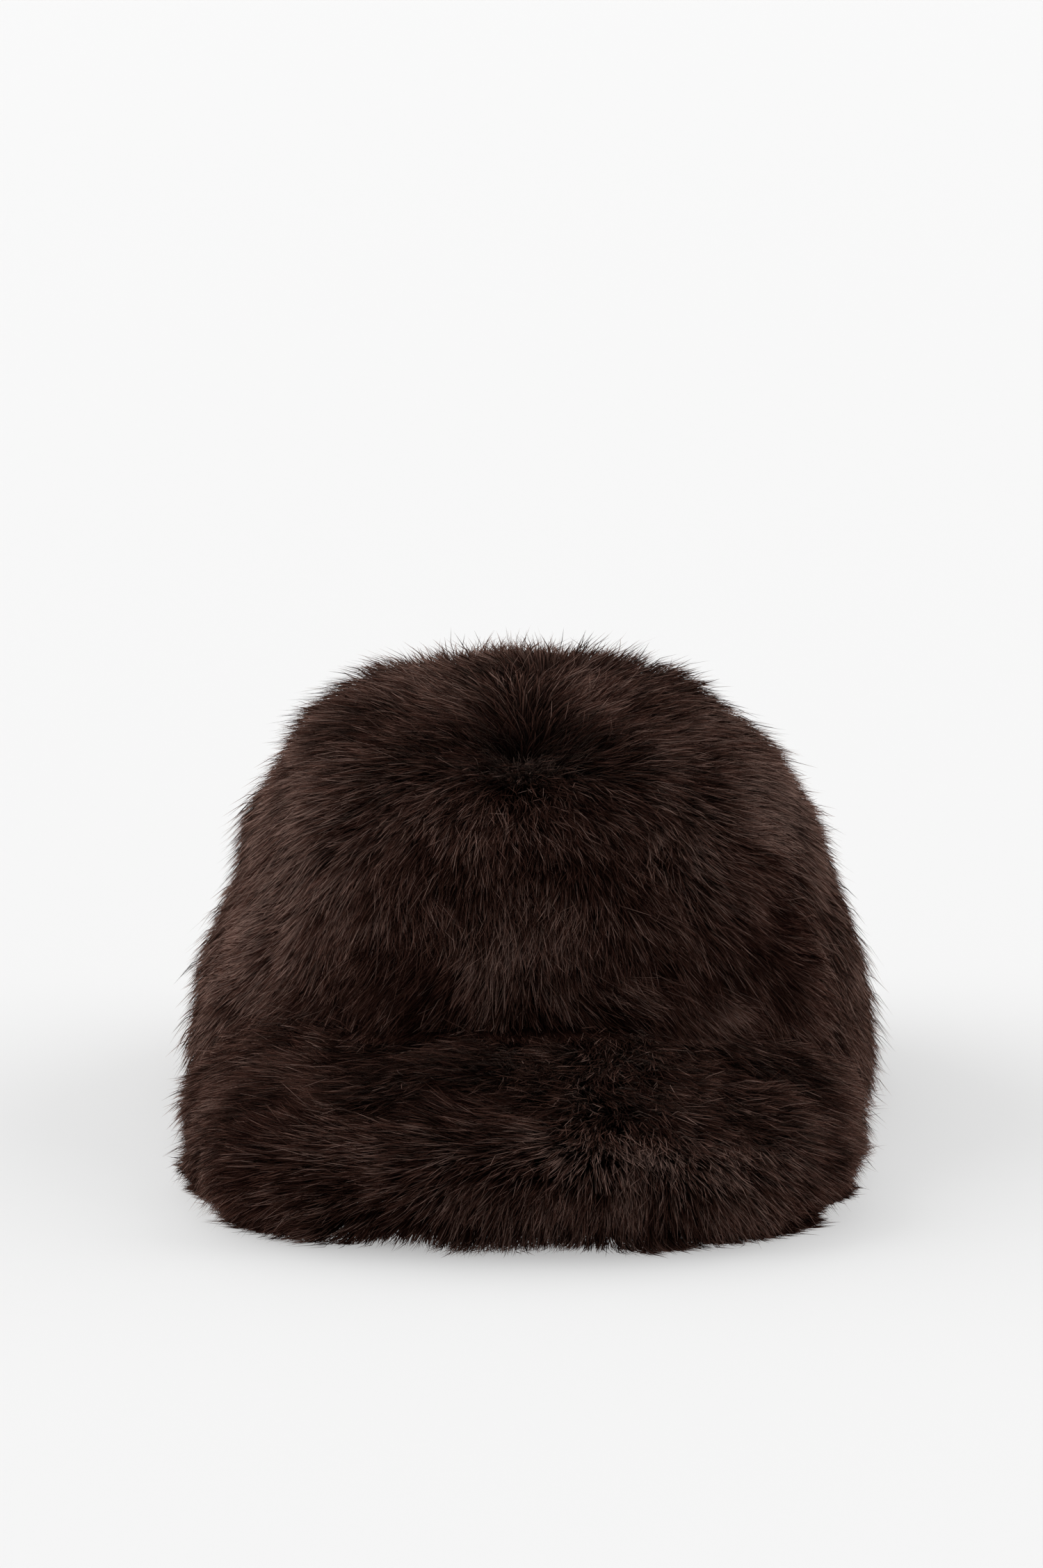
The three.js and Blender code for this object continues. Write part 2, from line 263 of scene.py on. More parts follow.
    def hem_height(self, p: Array) -> Array:
        """Works out the hem's height: a cosine arch over the peak, else the floor.

        Args:
            p: points of the wall.

        Returns:
            The height of the hem at each point's place in plan.
        """
        arch = self.arch_rise * np.cos(math.pi * p[..., 0] / 2 / self.arch_half_span)
        is_arch = (p[..., 1] < 0) & (np.abs(p[..., 0]) < self.arch_half_span)
        return np.maximum(np.where(is_arch, arch, 0), self.hem_gap)

    def depth(self, p: Array) -> Array:
        """Works out about how deep points lie inside the mean surface, below the shoulders.

        The section at p's height is taken as an ellipse a by b, and r is the length of
        (x / a, y / b): the depth is (1 - r) times the distance of the ellipse along p.

        Args:
            p: the points.

        Returns:
            The depth of each point, which is below 0 outside the crown.
        """
        lower = self.sections[:8]
        levels = [row.front_z for row in lower]
        right, left, front, back = (
            np.interp(p[..., 2], levels, [getattr(row, name) for row in lower])
            for name in ("right", "left", "front_y", "back_y")
        )
        a = np.where(p[..., 0] < 0, right, left)
        b = np.where(p[..., 1] < 0, -front, back)
        r = np.maximum(np.hypot(p[..., 0] / a, p[..., 1] / b), 1e-3)
        return (1 - r) * np.hypot(p[..., 0], p[..., 1]) / r


@dataclass(frozen=True)
class PeakForm:
    """The mean surface of the peak's pile: a rounded pillow about a curved board."""

    centre_x: float = -1.5
    centre_y: float = -58
    half_width: float = 95
    front: float = 119
    back: float = 30
    squareness: float = 3
    pile: float = 15  # beyond the board's edge
    above: float = 17
    below: float = 16
    top_squareness: float = 4
    under_squareness: float = 8
    board: float = 4
    hem_under: float = 14
    root_height: float = 42
    front_height: float = 17
    root_droop: float = 24  # how much lower its sides are than its middle, at its root
    front_droop: float = 11
    fit_gap: float = 0.35
    outside: float = -50.0  # the pile's height where there is no peak

    def height(self, x: Array, y: Array) -> Array:
        """Works out the height of the board's middle.

        It falls forward in a straight line, and to each side by the droop times the square
        of the share of the way to the board's edge.

        Args:
            x: plan places across the peak.
            y: plan places along it.

        Returns:
            The height at each place.
        """
        forward = np.clip((self.centre_y - y) / self.front, 0, 1)
        middle = self.root_height + (self.front_height - self.root_height) * forward
        droop = self.root_droop + (self.front_droop - self.root_droop) * forward
        return middle - droop * ((x - self.centre_x) / (self.half_width - self.pile)) ** 2

    def plan(self, angle: Array, share: Array, inset: Array = 0.0) -> Array:
        """Works out plan points on rays from the centre.

        The outline is the superellipse |x / a|^n + |y / b|^n = 1, with another b in front
        of the centre than behind it.

        Args:
            angle: of the rays, in radians from +X.
            share: of the way from the centre to the outline.
            inset: by which the outline is drawn in.

        Returns:
            The x and y of each point.
        """
        c, s = np.cos(angle), np.sin(angle)
        n = self.squareness
        reach = (np.abs(c) ** n + np.abs(s) ** n) ** (-1 / n)
        depth = np.where(s < 0, self.front, self.back) - inset
        x = self.centre_x + (self.half_width - inset) * reach * share * c
        return np.stack([x, self.centre_y + depth * reach * share * s], -1)

    def point(self, angle: Array, turn: Array, grow: float = 0.0) -> Array:
        """Works out points of the pillow, whose section is a superellipse too.

        The plan's share is sin(turn)^p and the height over the board's middle is above or
        below times |cos(turn)|^p, with p = 2 / squareness.

        Args:
            angle: in plan, in radians from +X.
            turn: from 0 at the middle of the top over the rounded edge, at a right angle,
                to a half turn at the middle of the underside.
            grow: by which the pillow is thicker and wider.

        Returns:
            A point for each pair of angle and turn.
        """
        angle, turn = np.broadcast_arrays(angle, turn)
        is_top = turn < math.pi / 2
        power = 2 / np.where(is_top, self.top_squareness, self.under_squareness)
        xy = self.plan(angle, np.abs(np.sin(turn)) ** power, -grow)
        rise = np.where(is_top, self.above + grow, -self.below - grow)
        z = self.height(xy[..., 0], xy[..., 1]) + rise * np.abs(np.cos(turn)) ** power
        return np.concatenate([xy, z[..., None]], -1)

    def frame(self, angle: Array, turn: Array) -> tuple[Array, Array]:
        """Works out the pillow's directions from small steps along it.

        Args:
            angle: in plan.
            turn: over the edge.

        Returns:
            The outward normal and the way out and down over the edge of each point.
        """
        step = 1e-3
        out = self.point(angle, turn + step) - self.point(angle, turn - step)
        around = self.point(angle + step, turn) - self.point(angle - step, turn)
        return unit(np.cross(out, around)), unit(out)

    def top_height(self, x: Array, y: Array) -> Array:
        """Works out the height of the pile's top over plan places.

        With r the superellipse length of the place and m the top's squareness, the top is
        above times (1 - r^m)^(1 / m) over the board's middle.

        Args:
            x: plan places across the peak.
            y: plan places along it.

        Returns:
            The height at each place, far below the floor outside the peak.
        """
        n = self.squareness
        a = np.abs((x - self.centre_x) / self.half_width)
        b = np.abs(y - self.centre_y) / np.where(y < self.centre_y, self.front, self.back)
        r = (a**n + b**n) ** (1 / n)
        m = self.top_squareness
        lift = self.above * np.maximum(1 - r**m, 0) ** (1 / m)
        return np.where(r < 1, self.height(x, y) + lift, self.outside)


@dataclass(frozen=True)
class Ramp:
    """A colour ramp: places from 0 to 1 and linear colours."""

    stops: tuple[tuple[float, tuple[float, float, float]], ...]

    def node(self, tree: bpy.types.NodeTree, source: bpy.types.NodeSocket) -> bpy.types.NodeSocket:
        """Adds the ramp to a node tree.

        Args:
            tree: that it is added to.
            source: gives the place on the ramp.

        Returns:
            The ramp's colour socket.
        """
        ramp = tree.nodes.new("ShaderNodeValToRGB")
        elements = ramp.color_ramp.elements
        while len(elements) < len(self.stops):
            elements.new(0.5)
        for element, (place, colour) in zip(elements, self.stops):
            element.position = place
            element.color = (*colour, 1)
        tree.links.new(source, ramp.inputs["Fac"])
        return ramp.outputs["Color"]


def new_material(name: str) -> tuple[bpy.types.Material, bpy.types.NodeTree, bpy.types.Node]:
    """Makes a node material.

    Args:
        name: of the material.

    Returns:
        The material, its node tree and its Principled shader.
    """
    material = bpy.data.materials.new(name)
    material.use_nodes = True
    tree = material.node_tree
    return material, tree, tree.nodes["Principled BSDF"]


def mixed(
    tree: bpy.types.NodeTree,
    blend: str,
    share: float,
    a: bpy.types.NodeSocket,
    b: bpy.types.NodeSocket,
) -> bpy.types.NodeSocket:
    """Adds a mix of two colours to a node tree.

    Args:
        tree: that it is added to.
        blend: how b changes a.
        share: how strongly it does.
        a: gives the first colour.
        b: gives the second colour.

    Returns:
        The mix's colour socket.
    """
    node = tree.nodes.new("ShaderNodeMix")
    node.data_type = "RGBA"
    node.blend_type = blend
    node.inputs["Factor"].default_value = share
    tree.links.new(a, node.inputs["A"])
    tree.links.new(b, node.inputs["B"])
    return node.outputs["Result"]


def noise_node(tree: bpy.types.NodeTree, scale: float, detail: float) -> bpy.types.NodeSocket:
    """Adds noise on Object coordinates to a node tree.

    Args:
        tree: that it is added to.
        scale: in lumps a metre.
        detail: how many finer layers of noise are summed.

    Returns:
        The socket with the noise's value.
    """
    place = tree.nodes.new("ShaderNodeTexCoord")
    noise = tree.nodes.new("ShaderNodeTexNoise")
    noise.inputs["Scale"].default_value = scale
    noise.inputs["Detail"].default_value = detail
    tree.links.new(place.outputs["Object"], noise.inputs["Vector"])
    return noise.outputs["Fac"]


def roughened(
    tree: bpy.types.NodeTree,
    shader: bpy.types.Node,
    height: bpy.types.NodeSocket,
    strength: float,
    depth: float,
) -> None:
    """Gives a shader a bump.

    Args:
        tree: that holds the shader.
        shader: whose normal is bumped.
        height: gives the bump's height from 0 to 1.
        strength: of the bump.
        depth: of a bump of height 1, in metres.
    """
    bump = tree.nodes.new("ShaderNodeBump")
    bump.inputs["Strength"].default_value = strength
    bump.inputs["Distance"].default_value = depth
    tree.links.new(height, bump.inputs["Height"])
    tree.links.new(bump.outputs["Normal"], shader.inputs["Normal"])


@dataclass(frozen=True)
class PileFinish:
    """Long acrylic pile with a soft sheen: brown shafts, each strand painted near black towards
    its root as painted shade deep in the pile, and paler at its tip as painted light through the
    tips.
    """

    # along: painted shade that darkens each strand towards its root, deep in the pile, and painted
    # light that makes its tip pale
    along: Ramp = Ramp(
        (
            (0.0, (0.015, 0.015, 0.015)),
            (0.45, (0.14, 0.12, 0.11)),
            (0.75, (0.64, 0.62, 0.61)),
            (1.0, (2.3, 2.27, 2.24)),
        )
    )
    tones: Ramp = Ramp(
        (
            (0.0, (0.0050, 0.0019, 0.0015)),
            (0.3, (0.0170, 0.0072, 0.0053)),
            (0.6, (0.0440, 0.0200, 0.0148)),
            (0.85, (0.0950, 0.0520, 0.0410)),
            (1.0, (0.1700, 0.1100, 0.0920)),
        )
    )
    roughness: float = 0.5
    specular: float = 0.0
    sheen: float = 0.16
    sheen_roughness: float = 0.28
    sheen_tint: tuple[float, float, float, float] = (1.0, 0.68, 0.56, 1)

    def material(self) -> bpy.types.Material:
        """Builds the material, which reads a strand's tone and length from its UV map; the place
        along the strand gives the painted shade at its root and the painted light at its tip.

        Returns:
            The material.
        """
        material, tree, shader = new_material("brown_pile")
        place = tree.nodes.new("ShaderNodeUVMap")
        place.uv_map = STRAND_MAP
        split = tree.nodes.new("ShaderNodeSeparateXYZ")
        tree.links.new(place.outputs["UV"], split.inputs["Vector"])
        tone = self.tones.node(tree, split.outputs["X"])
        along = self.along.node(tree, split.outputs["Y"])
        tree.links.new(mixed(tree, "MULTIPLY", 1.0, tone, along), shader.inputs["Base Color"])
        shader.inputs["Roughness"].default_value = self.roughness
        shader.inputs["Specular IOR Level"].default_value = self.specular
        shader.inputs["Sheen Weight"].default_value = self.sheen
        shader.inputs["Sheen Roughness"].default_value = self.sheen_roughness
        shader.inputs["Sheen Tint"].default_value = self.sheen_tint
        return material


@dataclass(frozen=True)
class ClothFinish:
    """A plain cloth in two browns with a fine woven or knitted bump."""

    name: str
    dark: tuple[float, float, float]
    light: tuple[float, float, float]
    threads: float  # a metre
    bump: float
    thread_waviness: float = 0.8
    thread_contrast: float = 0.6
    mottle_scale: float = 160  # lumps a metre
    mottle_detail: float = 4
    mottle_share: float = 0.5
    bump_depth: float = 0.0004  # metres
    roughness: float = 0.85
    specular: float = 0.2
    sheen: float = 0.15

    def material(self) -> bpy.types.Material:
        """Builds the material: crossed bands of threads, mottled by noise.

        Returns:
            The material.
        """
        material, tree, shader = new_material(self.name)
        place = tree.nodes.new("ShaderNodeTexCoord")
        bands = []
        for direction in ("X", "Y", "Z"):
            wave = tree.nodes.new("ShaderNodeTexWave")
            wave.bands_direction = direction
            wave.inputs["Scale"].default_value = self.threads
            wave.inputs["Distortion"].default_value = self.thread_waviness
            tree.links.new(place.outputs["Object"], wave.inputs["Vector"])
            bands.append(wave.outputs["Fac"])
        weave = mixed(tree, "MULTIPLY", self.thread_contrast, bands[0], bands[1])
        weave = mixed(tree, "MULTIPLY", self.thread_contrast, weave, bands[2])
        mottle = noise_node(tree, self.mottle_scale, self.mottle_detail)
        cloth = mixed(tree, "MIX", self.mottle_share, weave, mottle)
        colours = Ramp(((0.15, self.dark), (0.75, self.light)))
        tree.links.new(colours.node(tree, cloth), shader.inputs["Base Color"])
        roughened(tree, shader, cloth, self.bump, self.bump_depth)
        shader.inputs["Roughness"].default_value = self.roughness
        shader.inputs["Specular IOR Level"].default_value = self.specular
        shader.inputs["Sheen Weight"].default_value = self.sheen
        return material


@dataclass(frozen=True)
class UndercoatShadeFinish:
    """The dense short wool at the foot of the pile, painted nearly black as the shade deep among
    the strands.
    """

    # painted shade: near-black browns for the foot of the pile, where the strands' shade falls
    dark: tuple[float, float, float] = (0.0022, 0.0012, 0.0011)
    light: tuple[float, float, float] = (0.0075, 0.0042, 0.0036)
    streak_scale: float = 900  # lumps a metre
    streak_detail: float = 6
    bump: float = 1.0
    bump_depth: float = 0.0012  # metres
    roughness: float = 0.9
    specular: float = 0.0

    def material(self) -> bpy.types.Material:
        """Builds the material: fine noise in the colour and in the bump.

        Returns:
            The material.
        """
        material, tree, shader = new_material("pile_undercoat_shade")
        streaks = noise_node(tree, self.streak_scale, self.streak_detail)
        colours = Ramp(((0.3, self.dark), (0.7, self.light)))
        tree.links.new(colours.node(tree, streaks), shader.inputs["Base Color"])
        roughened(tree, shader, streaks, self.bump, self.bump_depth)
        shader.inputs["Roughness"].default_value = self.roughness
        shader.inputs["Specular IOR Level"].default_value = self.specular
        return material


@dataclass
class Wardrobe:
    """The cap's materials, each made once."""

    pile: bpy.types.Material = field(default_factory=lambda: PileFinish().material())
    undercoat_shade: bpy.types.Material = field(default_factory=lambda: UndercoatShadeFinish().material())
    backing: bpy.types.Material = field(
        default_factory=lambda: ClothFinish(
            "knitted_backing", (0.010, 0.0065, 0.0055), (0.035, 0.024, 0.020), 260, 0.7
        ).material()
    )
    board_cloth: bpy.types.Material = field(
        default_factory=lambda: ClothFinish(
            "woven_board_cloth", (0.008, 0.005, 0.0045), (0.030, 0.020, 0.017), 420, 0.6
        ).material()
    )


def place_piece(
    name: str,
    points: Array,
    quads: Array,
    tris: Array,
    materials: list[bpy.types.Material],
    uv: Array | None = None,
    normals: Array | None = None,
    finish: Array | None = None,
) -> bpy.types.Object:
    """Makes a piece from arrays, moves it to the row's frame and has it ride on the cap.

    Args:
        name: of the object.
        points: in millimetres in the crown's frame.
        quads: four point numbers a face.
        tris: three point numbers a face.
        materials: the piece's materials.
        uv: the strand map's place for each point.
        normals: a shading normal for each point, or smooth ones if left out.
        finish: the number of each face's material.

    Returns:
        The new object, at the origin, with its place in its mesh.
    """
    mesh = bpy.data.meshes.new(name)
    corners = np.concatenate([quads.ravel(), tris.ravel()]).astype(np.int32)
    starts = np.concatenate(
        [np.arange(len(quads)) * 4, len(quads) * 4 + np.arange(len(tris)) * 3]
    )
    mesh.vertices.add(len(points))
    mesh.vertices.foreach_set(
        "co", ((points + FRAME_SHIFT) * METRE).astype(np.float32).ravel()
    )
    mesh.loops.add(len(corners))
    mesh.loops.foreach_set("vertex_index", corners)
    mesh.polygons.add(len(starts))
    mesh.polygons.foreach_set("loop_start", starts.astype(np.int32))
    if finish is not None:
        mesh.polygons.foreach_set("material_index", finish.astype(np.int32))
    if uv is not None:
        layer = mesh.uv_layers.new(name=STRAND_MAP)
        layer.data.foreach_set("uv", uv[corners].astype(np.float32).ravel())
    mesh.update(calc_edges=True)
    mesh.polygons.foreach_set("use_smooth", np.ones(len(starts), bool))
    if normals is not None:
        mesh.normals_split_custom_set_from_vertices(normals.astype(np.float32))
    for material in materials:
        mesh.materials.append(material)
    piece = bpy.data.objects.new(name, mesh)
    bpy.context.scene.collection.objects.link(piece)
    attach(piece, BODY)
    return piece


def grid_quads(rows: int, columns: int, start: int = 0, closed: bool = False) -> Array:
    """Makes the faces of a grid of points that is numbered row by row.

    Seen with the columns running right and the rows running up, they face the viewer.

    Args:
        rows: of points.
        columns: of points.
        start: the first point's number.
        closed: joins the last column to the first.

    Returns:
        Four point numbers a face.
    """
    number = np.arange(rows * columns).reshape(rows, columns) + start
    right = np.roll(number, -1, 1)
    if not closed:
        number, right = number[:, :-1], right[:, :-1]
    return np.stack([number[:-1], right[:-1], right[1:], number[1:]], -1).reshape(-1, 4)


@dataclass(frozen=True)
class HairKind:
    """How many fibres are of one kind, and how they differ from the pile's plain one."""

    share: float
    length: float  # times the plain length
    width: float  # times the plain width
    tone: float  # added
    lift: float  # degrees added
    loose: float  # the share by which it stays out of clumps


class Hair(Enum):
    """The kinds of fibre in the pile."""

    WOOL = HairKind(share=0.37, length=0.9, width=1.0, tone=-0.18, lift=0, loose=0.0)
    SHAFT = HairKind(share=0.44, length=1.0, width=1.0, tone=0.1, lift=0, loose=0.0)
    GUARD = HairKind(share=0.19, length=1.15, width=0.6, tone=0.27, lift=1, loose=0.8)


@dataclass(frozen=True)
class Tuft:
    """A change in the lie of the pile about a point, which fades out over its reach."""

    place: tuple[float, float, float]
    reach: tuple[float, float, float]
    toward: tuple[float, float, float] = (0.0, 0.0, 0.0)  # the way that it is brushed
    pull: float = 1.6  # how far it is brushed that way
    # tone: painted light and shade, paler pile above 0 and darker pile below it
    tone: float = 0.0
    lift: float = 0.0  # degrees
    length: float = 0.0  # as a share of the pile's

    def weight(self, p: Array) -> Array:
        """Returns exp(-d^2) for each point, with d its distance over the reach."""
        return np.exp(-(((p - self.place) / self.reach) ** 2).sum(-1))


@dataclass
class Roots:
    """Where strands leave a surface, as one row a strand."""

    place: Array
    above: Array  # the point of the pile's mean surface over it
    normal: Array
    flow: Array
    length: Array  # as a share of the pile's
    lift: Array  # degrees added to the strand's angles
    curl: Array  # radians that the strand turns sideways
    tone: Array  # added to the pile's
    loose: Array  # the share by which it stays out of clumps

    def groomed(self, tufts: tuple[Tuft, ...]) -> "Roots":
        """Brushes tufts in one after the other.

        Args:
            tufts: the changes in the lie, tone and length of the pile.

        Returns:
            The brushed roots.
        """
        flow, lift = self.flow, self.lift
        tone, length = self.tone, self.length
        for tuft in tufts:
            weight = tuft.weight(self.above)
            flow = flow + np.array(tuft.toward) * (tuft.pull * weight)[:, None]
            flow = unit(flow - self.normal * dot(flow, self.normal))
            lift = lift + tuft.lift * weight
            tone = tone + tuft.tone * weight
            length = length + tuft.length * weight
        return replace(self, flow=flow, lift=lift, tone=tone, length=length)


@dataclass(frozen=True)
class Pile:
    """Grows strands from roots on a surface as tapered ribbons of two faces.

    A strand leaves the surface at its root angle and bends over along its flow to its tip
    angle. Strands near each other are drawn together into locks, and those into clumps.
    """

    length: float = 18.5
    root_angle: float = 52.0  # degrees off the surface
    root_spread: float = 6.0
    tip_angle: float = 8.0
    tip_spread: float = 7.0
    curl_spread: float = 0.34  # radians that a strand turns sideways to its tip
    width: float = 0.3
    width_range: tuple[float, float] = (0.6, 1.4)  # times the width
    foot_width: float = 0.9  # times the width
    lock_spacing: float = 12.0
    lock_pull: float = 0.12
    clump_spacing: float = 1.6
    clump_pull: float = 0.34
    pull_range: tuple[float, float] = (0.4, 1.5)  # times a lock's or clump's pull
    steps: int = 12  # short steps from the root to the tip
    knots: tuple[int, ...] = (0, 8, 12)  # the steps at which a strand's knots lie
    round_angle: float = 38.0  # by which a ribbon's normals splay, in degrees
    twist: float = 60.0  # the most that a ribbon turns about its length, in degrees
    smoothness: float = 0.4  # how far its normals lean back to the surface's
    tone: float = 0.43
    strand_tone_spread: float = 0.2
    clump_tone_spread: float = 0.17
    lock_tone_spread: float = 0.04
    tone_cells: int = 64

    def curves(self, roots: Roots, rng: np.random.Generator) -> Array:
        """Works out each strand's knots before it is drawn into locks and clumps.

        The direction along a strand is cos(a) flow + sin(a) normal, where a goes evenly
        from the root's angle to the tip's, and flow turns sideways by the strand's curl.
        Its points are sums of that direction over short steps.

        Args:
            roots: where and how the strands leave the surface.
            rng: draws their angles and curls.

        Returns:
            Strands by three knots by 3: the root, the middle and the tip.
        """
        count = len(roots.place)
        start = self.root_angle + rng.normal(0, self.root_spread, count) + roots.lift
        end = self.tip_angle + rng.normal(0, self.tip_spread, count) + roots.lift
        start, end = np.radians(start), np.radians(end)
        curl = rng.normal(0, self.curl_spread, count) + roots.curl
        step = (roots.length * self.length / self.steps)[:, None]
        across = np.cross(roots.normal, roots.flow)
        here = roots.place
        track = [here]
        for i in range(self.steps):
            t = (i + 0.5) / self.steps
            angle = (start + (end - start) * t)[:, None]
            side = (curl * t)[:, None]
            along = roots.flow * np.cos(side) + across * np.sin(side)
            here = here + (along * np.cos(angle) + roots.normal * np.sin(angle)) * step
            track.append(here)
        return np.stack([track[knot] for knot in self.knots], 1)

    def gathered(
        self,
        curves: Array,
        roots: Roots,
        per_area: float,
        spacing: float,
        pull: float,
        rng: np.random.Generator,
    ) -> tuple[Array, Array]:
        """Draws every strand towards its nearest guide, more towards the tip.

        A guide is a strand picked at random, one for each square of the spacing. A knot at
        share t of the length moves by pull t^1.5 of its way to the guide's knot.

        Args:
            curves: the strands' knots.
            roots: of the strands.
            per_area: the strands to a square millimetre.
            spacing: between guides on average, in millimetres.
            pull: how far a tip moves, as a share.
            rng: picks the guides and how strongly each one draws.

        Returns:
            The moved curves and the number of each strand's guide.
        """
        places = roots.place
        fewest_guides, pairs_at_once = 8, 8_000_000
        count = max(int(len(places) / per_area / spacing**2), fewest_guides)
        guides = rng.choice(len(places), count, replace=False)
        heart = places[guides]
        nearest = np.empty(len(places), int)
        parts = len(places) * count // pairs_at_once + 1
        for part in np.array_split(np.arange(len(places)), parts):
            gap = (heart**2).sum(-1) - 2 * places[part] @ heart.T
            nearest[part] = gap.argmin(1)
        strength = pull * rng.uniform(*self.pull_range, count)[nearest] * (1 - roots.loose)
        t = (np.array(self.knots) / self.steps) ** 1.5
        share = np.clip(strength[:, None] * t, 0, 0.9)[..., None]
        return curves + (curves[guides[nearest]] - curves) * share, nearest

    def grow(
        self,
        name: str,
        roots: Roots,
        per_area: float,
        material: bpy.types.Material,
        fit: Callable[[Array], Array],
        rng: np.random.Generator,
    ) -> bpy.types.Object:
        """Grows the strands and makes them one piece.

        Args:
            name: of the piece.
            roots: where and how the strands leave the surface.
            per_area: the strands to a square millimetre.
            material: of the pile.
            fit: moves points of the curves out of the floor and the neighbouring form.
            rng: draws the strands' differences.

        Returns:
            The piece.
        """
        count = len(roots.place)
        kinds = [hair.value for hair in Hair]
        kind = rng.choice(len(kinds), count, p=[each.share for each in kinds])
        length, width, tone, lift, loose = (
            np.array([getattr(each, column) for each in kinds])[kind]
            for column in ("length", "width", "tone", "lift", "loose")
        )
        roots = replace(
            roots,
            length=roots.length * length,
            lift=roots.lift + lift,
            loose=np.maximum(roots.loose, loose),
        )
        curves = self.curves(roots, rng)
        curves, lock = self.gathered(
            curves, roots, per_area, self.lock_spacing, self.lock_pull, rng
        )
        curves, clump = self.gathered(
            curves, roots, per_area, self.clump_spacing, self.clump_pull, rng
        )
        curves = fit(curves)
        tone = tone + self.tone + roots.tone + rng.normal(0, self.strand_tone_spread, count)
        tone += rng.normal(0, self.clump_tone_spread, clump.max() + 1)[clump]
        tone += rng.normal(0, self.lock_tone_spread, lock.max() + 1)[lock]
        width = width * self.width * rng.uniform(*self.width_range, count)
        return self.ribbons(name, curves, roots.normal, width, np.clip(tone, 0, 1), material, rng)

    def ribbons(
        self,
        name: str,
        curves: Array,
        normal: Array,
        width: Array,
        tone: Array,
        material: bpy.types.Material,
        rng: np.random.Generator,
    ) -> bpy.types.Object:
        """Makes flat tapered ribbons along the curves, shaded as round fibres.

        At each knot the ribbon's width runs along side = tangent x out, where out is the
        surface's normal made square to the tangent and turned about it by the strand's
        twist. The two edges' normals lean away from each other about the tangent, and all
        of them lean back to the surface's normal, so that the pile shades as one form.

        Args:
            name: of the piece.
            curves: the strands' knots.
            normal: the surface's, at each root.
            width: of each strand.
            tone: of each strand, from 0 to 1.
            material: of the pile.
            rng: draws the twists.

        Returns:
            The piece.
        """
        count = len(curves)
        ends = np.concatenate([curves[:, 1:], curves[:, -1:] * 2 - curves[:, -2:-1]], 1)
        tangent = unit(ends - curves)
        out = unit(normal[:, None] - tangent * dot(normal[:, None], tangent))
        twist = np.radians(rng.uniform(-self.twist, self.twist, count))[:, None]
        out = turned(out, tangent, np.broadcast_to(twist, out.shape[:2]))
        side = np.cross(tangent, out)
        taper = np.array([self.foot_width, 1.0])[None, :, None]
        half = side[:, :2] * taper * (width / 2)[:, None, None]
        lean = math.radians(self.round_angle)
        pairs = np.stack([curves[:, :2] - half, curves[:, :2] + half], 2).reshape(count, 4, 3)
        points = np.concatenate([pairs, curves[:, 2:]], 1)
        edge = out[:, :2] * math.cos(lean)
        splay = side[:, :2] * math.sin(lean)
        shading = np.stack([edge - splay, edge + splay], 2).reshape(count, 4, 3)
        shading = np.concatenate([shading, out[:, 2:]], 1)
        shading = unit(shading * (1 - self.smoothness) + normal[:, None] * self.smoothness)
        first = np.arange(count)[:, None] * points.shape[1]
        quads = first + np.array([[0, 1, 3, 2]])
        tris = first + np.array([[2, 3, 4]])
        cell = np.minimum((tone * self.tone_cells).astype(int), self.tone_cells - 1)
        inset = 0.15  # of a strand's edges from those of its cell
        left = (cell + inset) / self.tone_cells
        right = (cell + 1 - inset) / self.tone_cells
        u = np.stack([left, right, left, right, (left + right) / 2], 1)
        root, middle, tip = (np.array(self.knots) / self.steps).clip(0.01, 0.99)
        v = np.broadcast_to(np.array([root, root, middle, middle, tip]), u.shape)
        return place_piece(
            name,
            points.reshape(-1, 3),
            quads,
            tris,
            [material],
            uv=np.stack([u, v], -1).reshape(-1, 2),
            normals=shading.reshape(-1, 3),
        )


